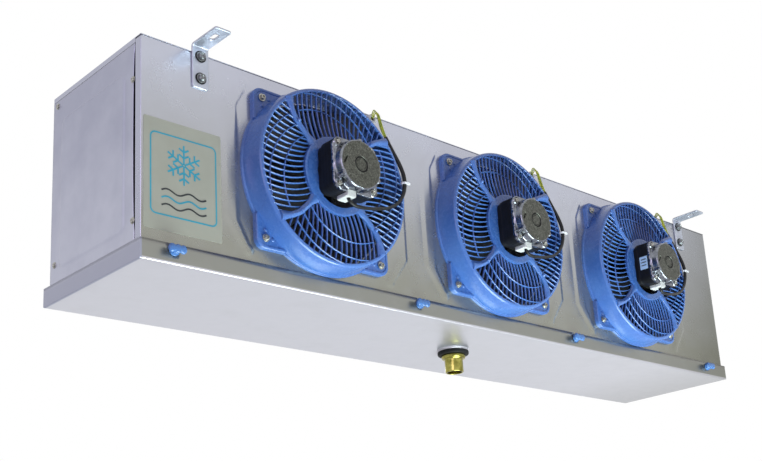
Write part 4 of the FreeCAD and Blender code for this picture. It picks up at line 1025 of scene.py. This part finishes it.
def rounded_frame(x0, x1, z0, z1, corner, width, y):
    """A thin band inside a rounded rectangle."""
    turn = np.linspace(0, np.pi / 2, 9)
    rows = []
    for quarter, (cx, cz) in enumerate(((x1 - corner, z1 - corner), (x0 + corner, z1 - corner),
                                        (x0 + corner, z0 + corner), (x1 - corner, z0 + corner))):
        a = turn + quarter * np.pi / 2
        rows.append(np.stack((cx + 0 * a, cz + 0 * a, np.cos(a), np.sin(a)), -1))
    c = np.concatenate(rows)
    loops = [np.stack((c[:, 0] + r * c[:, 2], np.full(len(c), h), c[:, 1] + r * c[:, 3]), -1)
             for r, h in ((corner, y + INK), (corner, y), (corner - width, y), (corner - width, y + INK))]
    return np.stack(loops, 1), True, True


def build_label():
    x0, x1, z0, z1 = -708.0, -582.0, -299.0, -135.0
    y = FRONT - 0.3
    outline = rounded([(x0, z0, 3.0), (x1, z0, 3.0), (x1, z1, 3.0), (x0, z1, 3.0)])
    shells = [plate(outline, FRONT, y)]
    shells.append(rounded_frame(x0 + 10, x1 - 8, z0 + 22, z1 - 20, 9.0, 2.3, y - INK) + (1,))
    mark = np.array(((x0 + x1) / 2 + 1, -196.0))
    arms = []
    for k in range(6):
        a = np.pi / 6 + k * np.pi / 3
        arm = on_circle(1.0, a)
        arms.append((*(mark + 1.2 * arm), *(mark + 30 * arm)))
        for r in (11, 20):
            for s in (-1, 1):
                branch = on_circle(1.0, a + s * np.pi / 3)
                start = mark + r * arm + 1.2 * branch
                arms.append((*start, *(start + 8 * branch)))
    shells.append(strokes(arms, 2.6, y - INK - 0.01) + (1,))
    for level, tone in ((-240.0, 2), (-251.0, 1), (-262.0, 2)):
        xs = np.linspace(mark[0] - 36, mark[0] + 36, 33)
        zs = level + 3.0 * np.sin((xs - mark[0]) / 72 * 4 * np.pi)
        shells.append(strokes(np.stack((xs[:-1], zs[:-1], xs[1:], zs[1:]), -1), 2.4, y - INK) + (tone,))
    piece("label_plate", shells, "casing", ["front_label"], "label", ["label", "label_teal", "label_dark"])


# Studio

def seen_directly(tree):
    """1 for rays from the camera, mirrors and glass, so that these show the pale background, and else 0."""
    way = add(tree, "LightPath").outputs
    seen = way["Is Camera Ray"]
    for ray in ("Is Glossy Ray", "Is Transmission Ray"):
        seen = add(tree, "Math", [(0, seen), (1, way[ray])], operation="MAXIMUM").outputs[0]
    return seen


def build_world():
    world = bpy.data.worlds.new("studio")
    bpy.context.scene.world = world
    world.use_nodes = True
    tree = world.node_tree
    tree.nodes.clear()
    seat = add(tree, "TexCoord").outputs["Generated"]
    tone = share(tree, add(tree, "SeparateXYZ", [("Vector", seat)]).outputs["Z"], -0.35, 0.55)
    sky = ramp(tree, tone, (0.0, "#EDEEF4"), (0.42, "#BEBBC4"), (0.62, "#C2C2D4"), (1.0, "#D8DAEC"))
    sky_light = add(tree, "Background", [("Color", sky)], Strength=0.66)
    white = add(tree, "Background", Color=(1.0, 1.0, 1.0, 1.0), Strength=1.0)
    links = [("Fac", seen_directly(tree)), (1, sky_light.outputs[0]), (2, white.outputs[0])]
    add(tree, "OutputWorld", [("Surface", add(tree, "MixShader", links).outputs[0])])


def build_lamps():
    """Square area lamps: place and size in metres, power in watts, and colour. All face the part's middle."""
    middle = Vector((0, 0, -0.18))
    for name, place, size, power, colour in (("key", (-3.2, -1.6, 0.3), 1.8, 27.0, "#EAD2FF"),
                                             ("low", (0.1, -0.85, -2.2), 1.8, 160.0, "#E6F8F4"),
                                             ("rear", (1.8, 2.4, 0.8), 1.6, 30.0, "#FFFFFF")):
        light = bpy.data.lights.new(name, "AREA")
        light.shape = "SQUARE"
        light.size = size
        light.energy = power
        light.color = shade(colour)[:3]
        lamp = placed(name, light)
        lamp.rotation_euler = (Vector(place) - middle).to_track_quat("Z", "Y").to_euler()
        lamp.location = place


def build_floor():
    """A pale floor far below, which seen directly is partly white of its own, and still takes a shadow."""
    half, level = 6000.0, -2400.0
    corners = np.array([(sx * half, sy * half, level) for sx, sy in ((-1, -1), (1, -1), (1, 1), (-1, 1))])
    mesh = write_mesh("floor", corners, np.array([[0, 1, 2, 3]]), np.zeros(1))
    floor = placed("floor", mesh)
    pale = plain("pale floor", "#ECECEC", "#E6E6E8", 0.7, 0.0, 900.0, 50.0, 0.2)
    tree = pale.node_tree
    part = add(tree, "Math", [(0, seen_directly(tree))], operation="MULTIPLY")
    part.inputs[1].default_value = 0.6
    glow = add(tree, "Emission", Color=(1.0, 1.0, 1.0, 1.0), Strength=1.0)
    both = add(tree, "MixShader", [("Fac", part.outputs[0]), (1, tree.nodes["Principled BSDF"].outputs[0]),
                                   (2, glow.outputs[0])])
    tree.links.new(both.outputs[0], tree.nodes["Material Output"].inputs["Surface"])
    mesh.materials.append(pale)


def dress_nodes():
    """CAD nodes that stay take their slot's finish."""
    slots = {row["node"]: row["material_slot"] for row in frame["record"]["subparts"]}
    for name, made in frame["nodes"].items():
        made.data.materials.clear()
        made.data.materials.append(FINISHES[slots[name]])


place_camera()
build_leads()
build_guards()
build_motors()
build_motor_sticker()
build_guard_screws()
build_front_panel()
build_end_covers()
build_pan()
build_brackets()
build_knobs()
build_label()
dress_nodes()
build_world()
build_lamps()
build_floor()
bpy.context.scene.view_settings.view_transform = "Standard"
